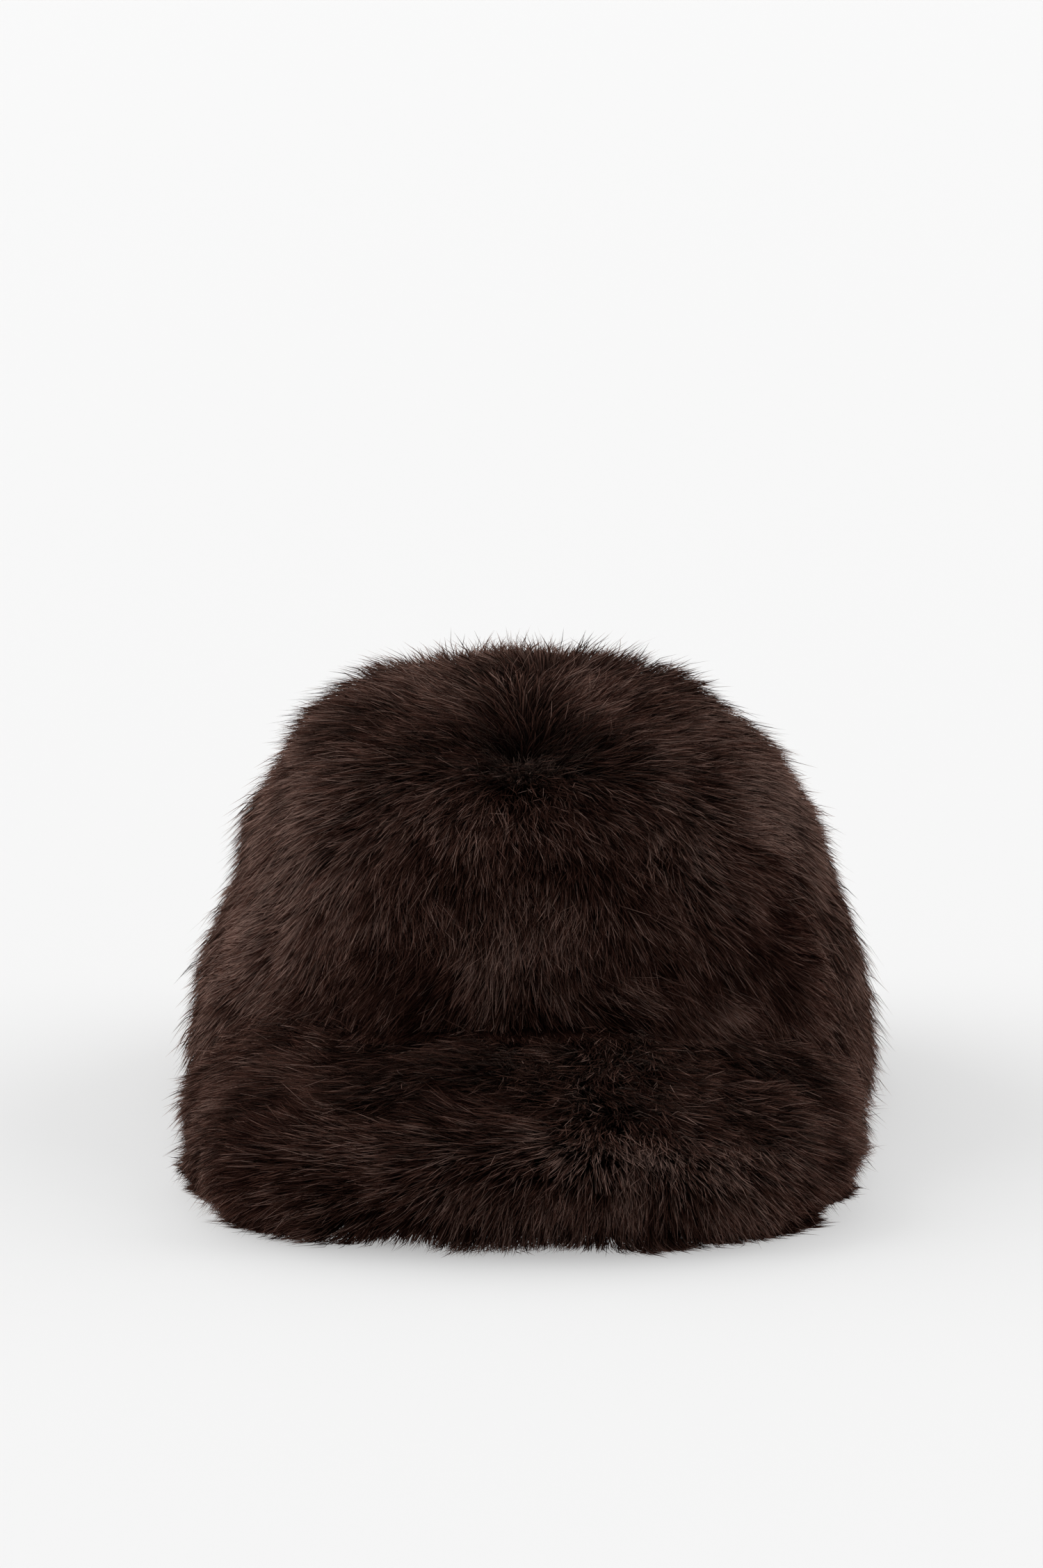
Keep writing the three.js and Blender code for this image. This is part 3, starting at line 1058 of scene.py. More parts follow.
CROWN_TUFTS = (
    # Broad dark and pale parts of the front and the flanks: painted light and shade, pale on the
    # flanks and the top where the side and back light catch the pile, darker patches on the front
    Tuft((-26, -104, 56), (24, 40, 19), tone=-0.3),
    Tuft((-32, -98, 70), (9, 30, 9), tone=-0.15),
    Tuft((0, -90, 94), (30, 30, 8), tone=-0.12),
    Tuft((4, -98, 81), (20, 30, 8), tone=0.16),
    Tuft((4, -110, 54), (14, 40, 9), tone=-0.12),
    Tuft((64, -88, 67), (18, 40, 18), tone=-0.46),
    Tuft((66, -88, 42), (20, 40, 10), tone=-0.2),
    Tuft((-72, -88, 42), (14, 40, 9), tone=-0.14),
    Tuft((14, -110, 47), (44, 40, 7), tone=-0.16),
    Tuft((-66, -45, 92), (18, 60, 28), tone=0.34),
    Tuft((-72, -20, 102), (14, 50, 12), length=-0.1),
    Tuft((-52, 0, 116), (16, 50, 10), lift=6, length=0.12),
    Tuft((-50, -82, 92), (12, 30, 16), tone=0.22),
    Tuft((66, -35, 98), (22, 60, 17), tone=0.54),
    Tuft((82, 0, 84), (18, 60, 18), length=-0.16),
    Tuft((48, 0, 118), (22, 50, 10), tone=0.16, length=-0.16),
    Tuft((-16, 20, 122), (26, 50, 8), tone=0.24),
    Tuft((-10, -72, 105), (18, 20, 6), tone=0.08),
    # A pale clump and its neighbour in the middle of the front: their paleness is a painted
    # highlight
    Tuft((-7, -105, 67), (6, 40, 11), (-0.55, 0, -0.8), pull=1.2, tone=0.34),
    Tuft((6, -108, 66), (6, 40, 13), (0.1, 0, -1), pull=1.2, tone=0.16),
    Tuft((-33, -100, 58), (5, 40, 9), (0, 0, -1), pull=1.0, tone=0.12),
    # A wave that runs down to the left above the peak, with a hollow below its end: the wave's
    # paleness is a painted highlight, and the darkness under it and in the hollow is painted shade
    Tuft((26, -110, 58), (12, 30, 5), (1, 0, -0.5), tone=0.14, lift=8),
    Tuft((46, -104, 52), (12, 30, 5), (1, 0, -0.45), tone=0.18, lift=9),
    Tuft((66, -92, 44), (12, 30, 5), (1, 0, -0.4), tone=0.12, lift=8),
    Tuft((38, -106, 45), (18, 30, 4), (1, 0, -0.3), tone=-0.16),
    Tuft((66, -90, 33), (12, 30, 5), (1, 0, -0.2), tone=-0.36, length=-0.25),
    # Curls along the crease, a little darker with painted shade
    Tuft((-14, -112, 47), (13, 30, 4), (1, 0, -0.1), tone=-0.04, lift=8),
    Tuft((-70, -88, 42), (12, 30, 6), (-0.3, 0, -1), tone=-0.1, lift=6),
)
PEAK_TUFTS = (
    # A pale fan on the right: its paleness is a painted highlight
    Tuft((-37, -164, 31), (12, 9, 8), (-0.9, 0, -0.6), pull=1.2, tone=0.2),
    Tuft((-52, -168, 24), (10, 9, 7), (-0.8, 0, -0.6), pull=1.0, tone=0.06),
    # A pale ridge across the middle: a painted highlight
    Tuft((2, -168, 31), (17, 7, 5), (-0.7, 0, -0.6), pull=0.6, tone=0.2),
    Tuft((-4, -174, 17), (18, 12, 12), tone=0.1),
    # The tousled dark fur of the top, short behind the right corner: its darkness is painted shade
    # on the top
    Tuft((-64, -152, 30), (16, 24, 18), tone=-0.48, lift=12),
    Tuft((-14, -156, 38), (24, 9, 9), tone=-0.44),
    Tuft((-12, -137, 44), (60, 18, 14), tone=-0.28, lift=4),
    # The crease, where the crown's fur hangs over the peak's, darkened with painted shade
    Tuft((0, -113, 52), (60, 9, 14), (0, -1, 0), pull=1.0, tone=-0.2, lift=-12, length=-0.3),
    Tuft((62, -106, 44), (24, 10, 12), (0.3, -1, 0), pull=1.0, tone=-0.25, lift=-12, length=-0.3),
    # An arc with a pale band on the left, a painted highlight, and the fur that falls forward
    # before it
    Tuft((48, -150, 40), (20, 14, 8), (1, -0.1, 0), pull=0.8),
    Tuft((22, -166, 31), (16, 10, 10), (0.35, -0.3, -0.8), pull=0.6, tone=0.18),
    Tuft((50, -160, 36), (19, 7, 6), (0.8, 0, -0.5), pull=0.7, tone=0.34),
    Tuft((40, -167, 30), (23, 8, 7), tone=0.46),
    # A fan that falls from the arc's end, paler with a painted highlight
    Tuft((48, -174, 18), (10, 10, 13), (0.25, 0, -1), pull=1.5, tone=0.26),
    Tuft((64, -168, 18), (10, 10, 12), (0.7, 0, -0.7), pull=1.2, tone=0.02),
    # The right and left corners, where the fur is pressed in
    Tuft((94, -118, 20), (12, 34, 13), (0, 0, -1), pull=1.5, length=-0.35),
    Tuft((-95, -118, 21), (12, 34, 13), (0, 0, -1), pull=1.5, length=-0.3),
    Tuft((86, -146, 6), (18, 22, 11), (-0.2, 0.4, -0.3), pull=0.8, length=-0.26),
    Tuft((-86, -146, 6), (18, 20, 11), (0.2, 0.4, -0.3), pull=0.6, length=-0.16),
)


def floored(curves: Array) -> Array:
    """Lays strands that reach the floor out on it.

    A knot below the floor's clearance is raised to it, and moves on by a part of the same
    distance in the plan direction from the strand's root to it.

    Args:
        curves: the strands' knots.

    Returns:
        The knots after the floor has pushed them up.
    """
    rise = np.maximum(FLOOR_CLEARANCE - curves[..., 2], 0)[..., None]
    out = unit((curves - curves[:, :1]) * [1, 1, 0])
    return curves + rise * (FLOOR_SLIDE * out + [0, 0, 1])


def scattered(
    surface: Surface,
    low: tuple[float, float],
    high: tuple[float, float],
    count: int,
    weight: Callable[[Array], Array],
    rng: np.random.Generator,
) -> tuple[Array, Array, float]:
    """Draws random places spread evenly over a surface's area.

    A fine grid is laid over the parameters. Cells are drawn with a chance that goes with
    the length of the cross product of their two edges, times weight at their middle.

    Args:
        surface: gives the points for two arrays of parameters.
        low: the least of each parameter.
        high: the most of each parameter.
        count: of the places.
        weight: how thickly the places lie at a point.
        rng: draws them.

    Returns:
        Both parameters of each place, and the places to a square millimetre.
    """
    cells = 160
    a = np.linspace(low[0], high[0], cells + 1)
    b = np.linspace(low[1], high[1], cells + 1)
    grid = surface(*np.meshgrid(a, b, indexing="ij"))
    edge_a = grid[1:, :-1] - grid[:-1, :-1]
    edge_b = grid[:-1, 1:] - grid[:-1, :-1]
    size = np.linalg.norm(np.cross(edge_a, edge_b), axis=-1)
    size = size * weight((grid[1:, 1:] + grid[:-1, :-1]) / 2)
    i, j = np.unravel_index(
        rng.choice(size.size, count, p=(size / size.sum()).ravel()), size.shape
    )
    first = a[i] + (a[1] - a[0]) * rng.random(count)
    second = b[j] + (b[1] - b[0]) * rng.random(count)
    return first, second, count / size.sum()


def root_depths(depth: float, count: int, rng: np.random.Generator) -> Array:
    """Returns depths spread evenly about one, as a column."""
    return (depth + rng.uniform(-ROOT_SCATTER, ROOT_SCATTER, count))[:, None]


@dataclass
class CrownPanel:
    """One gore of the crown: its backing cloth, its undercoat painted near black as shade, and its
    strands.
    """

    node: str
    plan_from: float
    plan_to: float
    strands: int
    seed: int
    form: CrownForm
    peak: PeakForm
    columns: int = 37
    rows: int = 41
    row_power: float = 0.9  # draws the rows together towards the apex
    root_depth: float = 9.4
    undercoat_depth: float = 10.0
    lump: float = 1.1  # of the undercoat
    lump_spacing: float = 5.0
    seam_gap: float = 0.04
    seam_points: int = 201  # at which the seams are worked out
    peak_reach: float = 4.0  # how far over the peak's pile the undercoat comes in
    peak_gap: float = 0.2  # between it and the backing there
    settle: float = 3.5  # how far the strands sink into the peak's pile
    settle_reach: float = 22.0  # how far below it they are still lifted out
    rises: Array = field(init=False)
    seam_from: Array = field(init=False)
    seam_to: Array = field(init=False)

    def __post_init__(self) -> None:
        """Works out the section angles of the panel's two seams at a ladder of rises."""
        self.rises = np.linspace(0, 1, self.seam_points)
        self.seam_from = self.form.seam_angle(self.plan_from, self.rises)
        self.seam_to = self.form.seam_angle(self.plan_to, self.rises)

    def angle(self, across: Array, rise: Array) -> Array:
        """Works out the section angle of places on the panel.

        Args:
            across: the share of the way from the first seam to the second.
            rise: of the section.

        Returns:
            The angle of each place, in radians.
        """
        start = np.interp(rise, self.rises, self.seam_from)
        end = np.interp(rise, self.rises, self.seam_to)
        return start + (end - start) * across

    def hem_rise(self, across: Array, offset: float) -> Array:
        """Finds the rise at which a sheet of the panel meets the hem's height.

        Args:
            across: the share of the way across the panel.
            offset: of the sheet from the mean surface, outwards.

        Returns:
            The rise for each place across.
        """

        def is_above(rise: Array) -> Array:
            """Tells whether the sheet is over the hem."""
            p = self.form.offset_point(self.angle(across, rise), rise, offset)
            return p[..., 2] > self.form.hem_height(p)

        over_any_hem = np.full_like(across, 0.6)
        return bisected(np.zeros_like(across), over_any_hem, is_above, halvings=28)

    def sheet(self, offset: float, lump: float, gap: float) -> Array:
        """Works out one sheet of the panel's wall: the mean surface moved by an offset.

        Where the peak's pile lies outside the backing, the lumpy outer sheet comes in to
        it.

        Args:
            offset: of the sheet from the mean surface, outwards.
            lump: the height of its lumps, or 0 for a plain sheet.
            gap: that its edges keep from the seams.

        Returns:
            A grid of points, from the hem to the apex by from seam to seam.
        """
        across = np.linspace(0, 1, self.columns)[None]
        hem = self.hem_rise(across[0], offset)[None]
        up = np.linspace(0, 1, self.rows)[:, None] ** self.row_power
        rise = hem + (1 - hem) * up
        across = np.broadcast_to(across, rise.shape)
        angle = self.angle(across, rise)
        depth = np.full(rise.shape, float(offset))
        if lump:
            bare = self.form.point(angle, rise)
            depth += lump * waves(bare, self.lump_spacing, self.seed + 50)
            peak_top = self.peak.top_height(bare[..., 0], bare[..., 1])
            at_peak = peak_top - bare[..., 2] > -self.peak_reach
            depth = np.where(at_peak, -self.form.pile_depth - self.peak_gap, depth)
        p = self.form.offset_point(angle, rise, depth)
        middle = p[:, self.columns // 2][:, None]
        is_edge = (across == 0) | (across == 1)
        p = p + unit(middle - p) * is_edge[..., None] * gap
        p[..., 2] = np.maximum(p[..., 2], self.form.hem_gap)
        return p

    def dress_base(self, wardrobe: Wardrobe) -> bpy.types.Object:
        """Makes the closed wall: undercoat outside, painted nearly black as the shade deep in the
        pile, and backing cloth inside and at the edges.

        Args:
            wardrobe: holds the materials.

        Returns:
            The piece, which replaces the panel's solid.
        """
        outer = self.sheet(-self.undercoat_depth, self.lump, self.seam_gap)
        inner = self.sheet(-self.form.pile_depth - self.form.backing, 0.0, 0.0)
        count = self.rows * self.columns
        outside = grid_quads(self.rows, self.columns)
        inside = grid_quads(self.rows, self.columns, count)[:, ::-1]
        number = np.arange(count).reshape(self.rows, self.columns)
        rim = np.concatenate(
            [number[0], number[1:, -1], number[-1, -2::-1], number[-2:0:-1, 0]]
        )
        after = np.roll(rim, -1)
        walls = np.stack([rim, rim + count, after + count, after], -1)
        quads = np.concatenate([outside, inside, walls])
        finish = np.concatenate([np.zeros(len(outside)), np.ones(len(inside) + len(walls))])
        points = np.concatenate([outer.reshape(-1, 3), inner.reshape(-1, 3)])
        piece = place_piece(
            f"{self.node}_backing",
            points,
            quads,
            np.empty((0, 3), int),
            [wardrobe.undercoat_shade, wardrobe.backing],
            finish=finish,
        )
        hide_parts(self.node)
        return piece

    def flow(self, p: Array, normal: Array, downhill: Array) -> Array:
        """Works out the lie of the pile, which streams away from the whorl.

        It is the way from the whorl to the point, brushed down below the shoulders and to
        the side on the flanks. Behind the whorl it goes sideways from a ragged parting.
        Last, smooth noise turns it about the normal, most of all near the whorl.

        Args:
            p: points of the mean surface.
            normal: the surface's at each point.
            downhill: the way down along the surface at each point.

        Returns:
            A unit vector along the surface for each point.
        """
        x, y, z = p.T
        away = p - WHORL
        away = unit(away - normal * dot(away, normal))
        level = np.stack([-normal[:, 1], normal[:, 0], 0 * x], -1)
        sideways = unit(level * np.sign(level[:, :1] * x[:, None] + TINY))
        low = smooth(z, 98, 62)
        wide = np.abs(x)
        down_share = 0.7 * smooth(wide, 15, 60) + 0.25 * low * smooth(wide, 12, 26)
        side_share = 0.25 * low * smooth(wide, 55, 80)
        flow = away + downhill * down_share[:, None] + sideways * side_share[:, None]
        parted = np.tanh((x + 5 * waves(p, 9, seed=14)) / 9)
        top = smooth(normal[:, 2], 0.6, 0.9) * smooth(y, -60, -44) * smooth(y, 55, 5)
        flow = flow * (1 - 0.65 * top)[:, None]
        flow = flow + np.array([1.0, 0, 0]) * (top * parted)[:, None]
        flow = unit(flow - normal * dot(flow, normal))
        from_whorl = np.linalg.norm(p - WHORL, axis=-1)
        swirl = 0.2 * waves(p, 26, seed=11) + 0.17 * waves(p, 9, seed=12)
        swirl += 0.6 * waves(p, 3, seed=13) * smooth(from_whorl, 34, 8)
        return turned(flow, normal, swirl)

    def roots(self, rng: np.random.Generator) -> tuple[Roots, float]:
        """Draws the panel's roots and works out how each strand leaves the surface.

        Args:
            rng: draws the places and the strands' differences.

        Returns:
            The roots, and how many there are to a square millimetre.
        """
        cover, lowest_root = 3.0, 1.0  # millimetres
        first_rise, last_rise = 0.05, 0.999

        def surface(across: Array, rise: Array) -> Array:
            """Returns points of the mean surface."""
            return self.form.point(self.angle(across, rise), rise)

        def weight(p: Array) -> Array:
            """Returns 0 where the peak's pile or the floor hides the roots, and 1 elsewhere."""
            hidden = self.peak.top_height(p[..., 0], p[..., 1]) > p[..., 2] + cover
            return np.where(hidden | (p[..., 2] < lowest_root), 0.0, 1.0)

        across, rise, per_area = scattered(
            surface, (0, first_rise), (1, last_rise), self.strands, weight, rng
        )
        angle = self.angle(across, rise)
        p = self.form.point(angle, rise)
        normal, downhill = self.form.frame(angle, rise)
        x, y, z = p.T
        from_whorl = np.linalg.norm(p - WHORL, axis=-1)
        # near_whorl shortens and lifts the pile about the whorl, and darkens it there: painted
        # shade in the whorl's hollow
        near_whorl = smooth(from_whorl, 30, 6)
        tousle = rng.normal(0, 1, len(p)) * (0.11 + 0.22 * smooth(from_whorl, 50, 15))
        flow = turned(self.flow(p, normal, downhill), normal, tousle)
        # middle_top darkens the pile on the middle of the top: painted shade
        middle_top = smooth(z, 104, 114) * smooth(np.abs(x), 55, 15)
        # flank: the flanks, more on the -X side that the left softbox lights; it lifts their pile
        # and makes it paler, painted light where the side light catches it
        flank = smooth(np.abs(x), 50, 95) * smooth(z, 108, 88) * np.where(x < 0, 1.0, 0.75)
        seams = np.radians([self.plan_from, self.plan_to])[:, None]
        from_seam = np.abs(np.cos(seams) * (y - self.form.apex_y) - np.sin(seams) * x).min(0)
        roots = Roots(
            place=p - normal * root_depths(self.root_depth, len(p), rng),
            above=p,
            normal=normal,
            flow=flow,
            length=1 + 0.07 * waves(p, 12, seed=21) + rng.normal(0, 0.1, len(p))
            - 0.2 * near_whorl - 0.11 * smooth(np.abs(x), 45, 75),
            lift=3 * waves(p, 14, seed=22) + 4 * near_whorl + 3 * flank,
            curl=0.2 * waves(p, 12, seed=23),
            # tone: painted shade in the whorl and on the middle of the top, painted light on the
            # flanks
            tone=0.05 * waves(p, 18, seed=24)
            - 0.36 * near_whorl - 0.04 * middle_top + 0.28 * flank,
            loose=smooth(from_seam, 5, 0.5),
        )
        return roots.groomed(CROWN_TUFTS), per_area

    def fit(self, curves: Array) -> Array:
        """Lays strands on the peak's pile and on the floor.

        A knot that lies in the peak's pile is raised to where it rests, and moves forward
        by half as much.

        Args:
            curves: the strands' knots.

        Returns:
            The knots after they have been moved.
        """
        x, y, z = curves[..., 0], curves[..., 1], curves[..., 2]
        rest = self.peak.top_height(x, y) - self.settle
        rise = np.maximum(rest - z, 0) * (z > rest - self.settle_reach)
        return floored(np.stack([x, y - rise / 2, z + rise], -1))

    def dress_pile(self, wardrobe: Wardrobe) -> bpy.types.Object:
        """Grows the panel's strands.

        Args:
            wardrobe: holds the materials.

        Returns:
            The piece.
        """
        rng = np.random.default_rng(self.seed)
        roots, per_area = self.roots(rng)
        return Pile().grow(f"{self.node}_pile", roots, per_area, wardrobe.pile, self.fit, rng)


@dataclass
class Peak:
    """The peak: its cloth-covered board, the fur's backing round it and its strands."""

    form: PeakForm
    crown: CrownForm
    strands: int = 52000  # on each half
    seed: int = 91
    angles: int = 121
    back_reach: float = 44.0  # degrees that the cover runs back past its widest place
    root_depth: float = 8.4
    undercoat_depth: float = 9.0
    lump: float = 0.66  # of the undercoat
    lump_spacing: float = 5.0
    floor_gap: float = 0.5
    board_points: int = 14  # across each face of the board
    slot_points: int = 6  # across each face of the slot that holds it
    top_points: int = 26  # from the crown over the top to the edge
    row_power: float = 0.8  # draws them together towards the edge
    under_points: int = 12  # from the edge to the turned-in hem
    edge_share: float = 0.45  # the board's edge is this much of its thickness

    def sweep_angles(self) -> Array:
        """Returns the plan angles of the sweep, from the left tuck round the front."""
        reach = math.radians(self.back_reach)
        return np.linspace(reach, -math.pi - reach, self.angles)

    def tuck_share(self, angle: Array, clearance: float) -> Array:
        """Finds where rays along the board leave the crown's backing.

        Args:
            angle: of the rays in plan.
            clearance: the depth in the crown at which they do.

        Returns:
            The share of the way out along each ray.
        """
        lowest_level = 4.0

        def is_out(share: Array) -> Array:
            """Tells whether the board has left the backing.

            Args:
                share: of the way out along each ray.

            Returns:
                True for each ray on which it has.
            """
            plan = self.form.plan(angle, share)
            level = self.form.height(plan[..., 0], plan[..., 1])
            p = np.concatenate([plan, np.maximum(level, lowest_level)[..., None]], -1)
            return self.crown.depth(p) <= clearance

        least_share = np.full_like(angle, 0.02)
        return bisected(least_share, np.ones_like(angle), is_out, halvings=26)

    def swept(self, loop: Array) -> tuple[Array, Array, Array]:
        """Closes loops of points along the sweep into a skin with a cap at each end.

        Args:
            loop: sweep places by points round the loop by 3.

        Returns:
            The points, the four-sided faces and the end caps' three-sided faces.
        """
        places, around = loop.shape[:2]
        points = np.concatenate([loop.reshape(-1, 3), loop[:1].mean(1), loop[-1:].mean(1)])
        quads = grid_quads(places, around, closed=True)
        first = np.arange(around)
        after = np.roll(first, -1)
        last = (places - 1) * around
        start_cap = np.stack([after, first, np.full(around, places * around)], -1)
        end_cap = np.stack([last + first, last + after, np.full(around, places * around + 1)], -1)
        return points, quads, np.concatenate([start_cap, end_cap])

    def plate_loop(self, inset: float, half: float, count: int, clearance: float) -> Array:
        """Works out loops round a plate that follows the board.

        Args:
            inset: of the plate's edge from the peak's outline.
            half: of the plate's thickness.
            count: of the points across each of its faces.
            clearance: the depth in the crown's pile at which it ends.

        Returns:
            Sweep places by points by 3, out along the lower face and back along the upper.
        """
        angle = self.sweep_angles()[:, None]
        near = self.tuck_share(angle, clearance)
        reach_share = 1 - inset / np.linalg.norm(
            self.form.plan(angle, 1.0) - [self.form.centre_x, self.form.centre_y], axis=-1
        )
        far = np.maximum(reach_share, near + 0.01)
        share = near + (far - near) * np.linspace(0, 1, count)[None]
        plan = self.form.plan(angle, share)
        middle = self.form.height(plan[..., 0], plan[..., 1])
        edge = np.ones(count)
        edge[-1] = self.edge_share
        below = np.concatenate([plan, (middle - half * edge)[..., None]], -1)
        above = np.concatenate([plan, (middle + half * edge)[..., None]], -1)
        return np.concatenate([below, above[:, ::-1]], 1)

    def dress_board(self, wardrobe: Wardrobe) -> bpy.types.Object:
        """Makes the stiff board in its plain woven cloth.

        Args:
            wardrobe: holds the materials.

        Returns:
            The piece, which replaces the board's solid.
        """
        form = self.form
        loop = self.plate_loop(
            form.pile, form.board / 2, self.board_points, self.crown.pile_depth
        )
        points, quads, tris = self.swept(loop)
        piece = place_piece(
            "peak_board_cloth", points, quads, tris, [wardrobe.board_cloth]
        )
        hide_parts("peak_board")
        return piece

    def dress_base(self, wardrobe: Wardrobe) -> bpy.types.Object:
        """Makes the fur's backing: over the top, round the edge and in below the board.

        The turns at which the section starts and ends are those at which its superellipses
        reach the wanted share of the plan: arcsin(share^(squareness / 2)).

        Args:
            wardrobe: holds the materials.

        Returns:
            The piece, which replaces the fur cover's solid.
        """
        form = self.form
        edge = math.pi / 2
        tuck = self.crown.pile_depth - 1
        angle = self.sweep_angles()[:, None]
        nearest_edge, thinnest_strip = 0.985, 0.99  # shares that leave the section a width
        near = np.minimum(self.tuck_share(angle, tuck), nearest_edge)
        start = np.arcsin(near ** (form.top_squareness / 2))
        along_top = np.linspace(0, 1, self.top_points)[None] ** self.row_power
        top_turn = start + (edge - start) * along_top
        reach = np.linalg.norm(form.plan(angle, 1.0) - [form.centre_x, form.centre_y], axis=-1)
        turned_in = np.maximum(1 - (form.pile + form.hem_under) / reach, near)
        strip_end = np.minimum(turned_in, thinnest_strip)
        end = math.pi - np.arcsin(strip_end ** (form.under_squareness / 2))
        past_edge = 0.08  # of the way, so that no point of the edge is made twice
        along_under = np.linspace(past_edge, 1, self.under_points)[None]
        under_turn = edge + (end - edge) * along_under
        turn = np.concatenate([top_turn, under_turn], 1)
        outer = form.point(angle, turn, -self.undercoat_depth)
        normal, _ = form.frame(angle, turn)
        lumps = self.lump * waves(outer, self.lump_spacing, self.seed)
        outer = outer + normal * lumps[..., None]
        outer[..., 2] = np.maximum(outer[..., 2], self.floor_gap)
        slot = self.plate_loop(
            form.pile - form.fit_gap, form.board / 2 + form.fit_gap, self.slot_points, tuck
        )
        mouth_and_top = slot[:, self.slot_points - 1 :]
        loop = np.concatenate([outer, mouth_and_top], 1)[:, ::-1]
        points, quads, tris = self.swept(loop)
        # The whole backing wears the undercoat's near black: painted shade under the peak's
        # strands.
        piece = place_piece(
            "peak_cover_backing", points, quads, tris, [wardrobe.undercoat_shade]
        )
        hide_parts("peak_fur_cover")
        return piece

    def flow(self, p: Array, normal: Array, out: Array, turn: Array) -> Array:
        """Works out the lie of the peak's pile: sideways and tousled on top, then down.

        The way out over the edge is turned to the side by an angle that goes from the right
        to the left across a wavy divide, and is less over the rounded edge. Smooth noise
        turns it again, most of all on the divide.

        Args:
            p: points of the pillow.
            normal: the pillow's at each point.
            out: the way out over the edge at each point.
            turn: of each point over the edge.

        Returns:
            A unit vector along the surface for each point.
        """
        x = p[:, 0]
        across = np.cross(normal, out)
        across = across * np.sign(across[:, :1] + TINY)
        fringe = smooth(turn, 0.8, 1.15)
        front = smooth(turn, 0.35, 0.95)
        facing = np.tanh((x - 30 + 10 * waves(p, 17, seed=33)) / 42) * (1 - front)
        facing += front * np.tanh((x - 40 + 8 * waves(p, 17, seed=34)) / 50)
        sweep = facing * np.radians(74 - 40 * fringe) * smooth(np.abs(x), 100, 55)
        flow = out * np.cos(sweep)[:, None] + across * np.sin(sweep)[:, None]
        swirl = (1 - 0.5 * fringe) * (0.24 * waves(p, 20, seed=31) + 0.24 * waves(p, 7, seed=32))
        swirl += 0.7 * waves(p, 3, seed=35) * (1 - front) * smooth(np.abs(facing), 0.9, 0.2)
        return turned(unit(flow), normal, swirl)

    def roots(self, low: float, high: float, rng: np.random.Generator) -> tuple[Roots, float]:
        """Draws the roots of a part of the peak and works out how each strand leaves.

        Args:
            low: the plan angle at which the part starts.
            high: the plan angle at which it ends.
            rng: draws the places and the strands' differences.

        Returns:
            The roots, and how many there are to a square millimetre.
        """
        form = self.form
        overlap = 4.0  # millimetres that the pile runs on into the crown's
        thin_within, bare_within, thin_share = 0.97, 0.8, 0.35  # on the underside
        first_turn, last_turn = 0.12, 2.3

        def weight(p: Array) -> Array:
            """Works out how thickly roots lie: thinly on the turned-in strip, none within it.

            Args:
                p: points of the pillow.

            Returns:
                The share of the full thickness at each point.
            """
            in_crown = self.crown.depth(p) > overlap
            plan = (p[..., :2] - [form.centre_x, form.centre_y]) / [form.half_width, form.front]
            under = p[..., 2] < form.height(p[..., 0], p[..., 1])
            r = (np.abs(plan) ** form.squareness).sum(-1) ** (1 / form.squareness)
            share = np.where(under & (r < thin_within), thin_share, 1.0)
            return np.where(in_crown | (under & (r < bare_within)), 0.0, share)

        angle, turn, per_area = scattered(
            form.point, (low, first_turn), (high, last_turn), self.strands, weight, rng
        )
        p = form.point(angle, turn)
        normal, out = form.frame(angle, turn)
        flow = turned(self.flow(p, normal, out, turn), normal, rng.normal(0, 0.12, len(p)))
        under = smooth(turn, 1.5, 1.75)
        flank = smooth(np.abs(p[:, 0]), 70, 90)
        roots = Roots(
            place=p - normal * root_depths(self.root_depth, len(p), rng),
            above=p,
            normal=normal,
            flow=flow,
            length=0.95 + 0.1 * waves(p, 10, seed=41) + rng.normal(0, 0.09, len(p)) - 0.25 * flank
            + 0.03 * smooth(turn, 1.1, 1.4) - 0.35 * under,
            lift=4 * waves(p, 10, seed=42) - 8 * smooth(turn, 1.1, 0.7) - 8 * under,
            curl=0.25 * waves(p, 11, seed=43),
            # tone: flank makes the peak's sides a little paler, painted light where the softboxes
            # catch them
            tone=0.05 * waves(p, 14, seed=44) + 0.04 * flank,
            loose=smooth(np.abs(p[:, 0] - form.centre_x), 5, 0.5),
        )
        return roots.groomed(PEAK_TUFTS), per_area

    def dress_pile(self, wardrobe: Wardrobe) -> list[bpy.types.Object]:
        """Grows the strands of the peak's right and left halves.

        Args:
            wardrobe: holds the materials.

        Returns:
            One piece for each half.
        """
        reach = math.radians(self.back_reach)
        halves = {"right": (-math.pi - reach, -math.pi / 2), "left": (-math.pi / 2, reach)}
        pile = Pile(length=18.0, tip_angle=12.0)
        pieces = []
        for seed, (side, (low, high)) in enumerate(halves.items(), self.seed):
            rng = np.random.default_rng(seed)
            roots, per_area = self.roots(low, high, rng)
            name = f"peak_cover_pile_{side}"
            pieces.append(pile.grow(name, roots, per_area, wardrobe.pile, floored, rng))
        return pieces


@dataclass(frozen=True)
class Softbox:
    """A broad, distant light."""

    name: str
    comes_from: tuple[float, float, float]
    strength: float
    softness: float  # degrees across

    def build(self) -> None:
        """Makes the light, turned to shine from its place to the cap."""
        light = bpy.data.lights.new(self.name, "SUN")
        light.energy = self.strength
        light.angle = math.radians(self.softness)
        lamp = bpy.data.objects.new(self.name, light)
        x, y, z = self.comes_from
        tilt = math.atan2(math.hypot(x, y), z)
        lamp.rotation_euler = (tilt, 0, math.atan2(y, x) + math.pi / 2)
        bpy.context.scene.collection.objects.link(lamp)


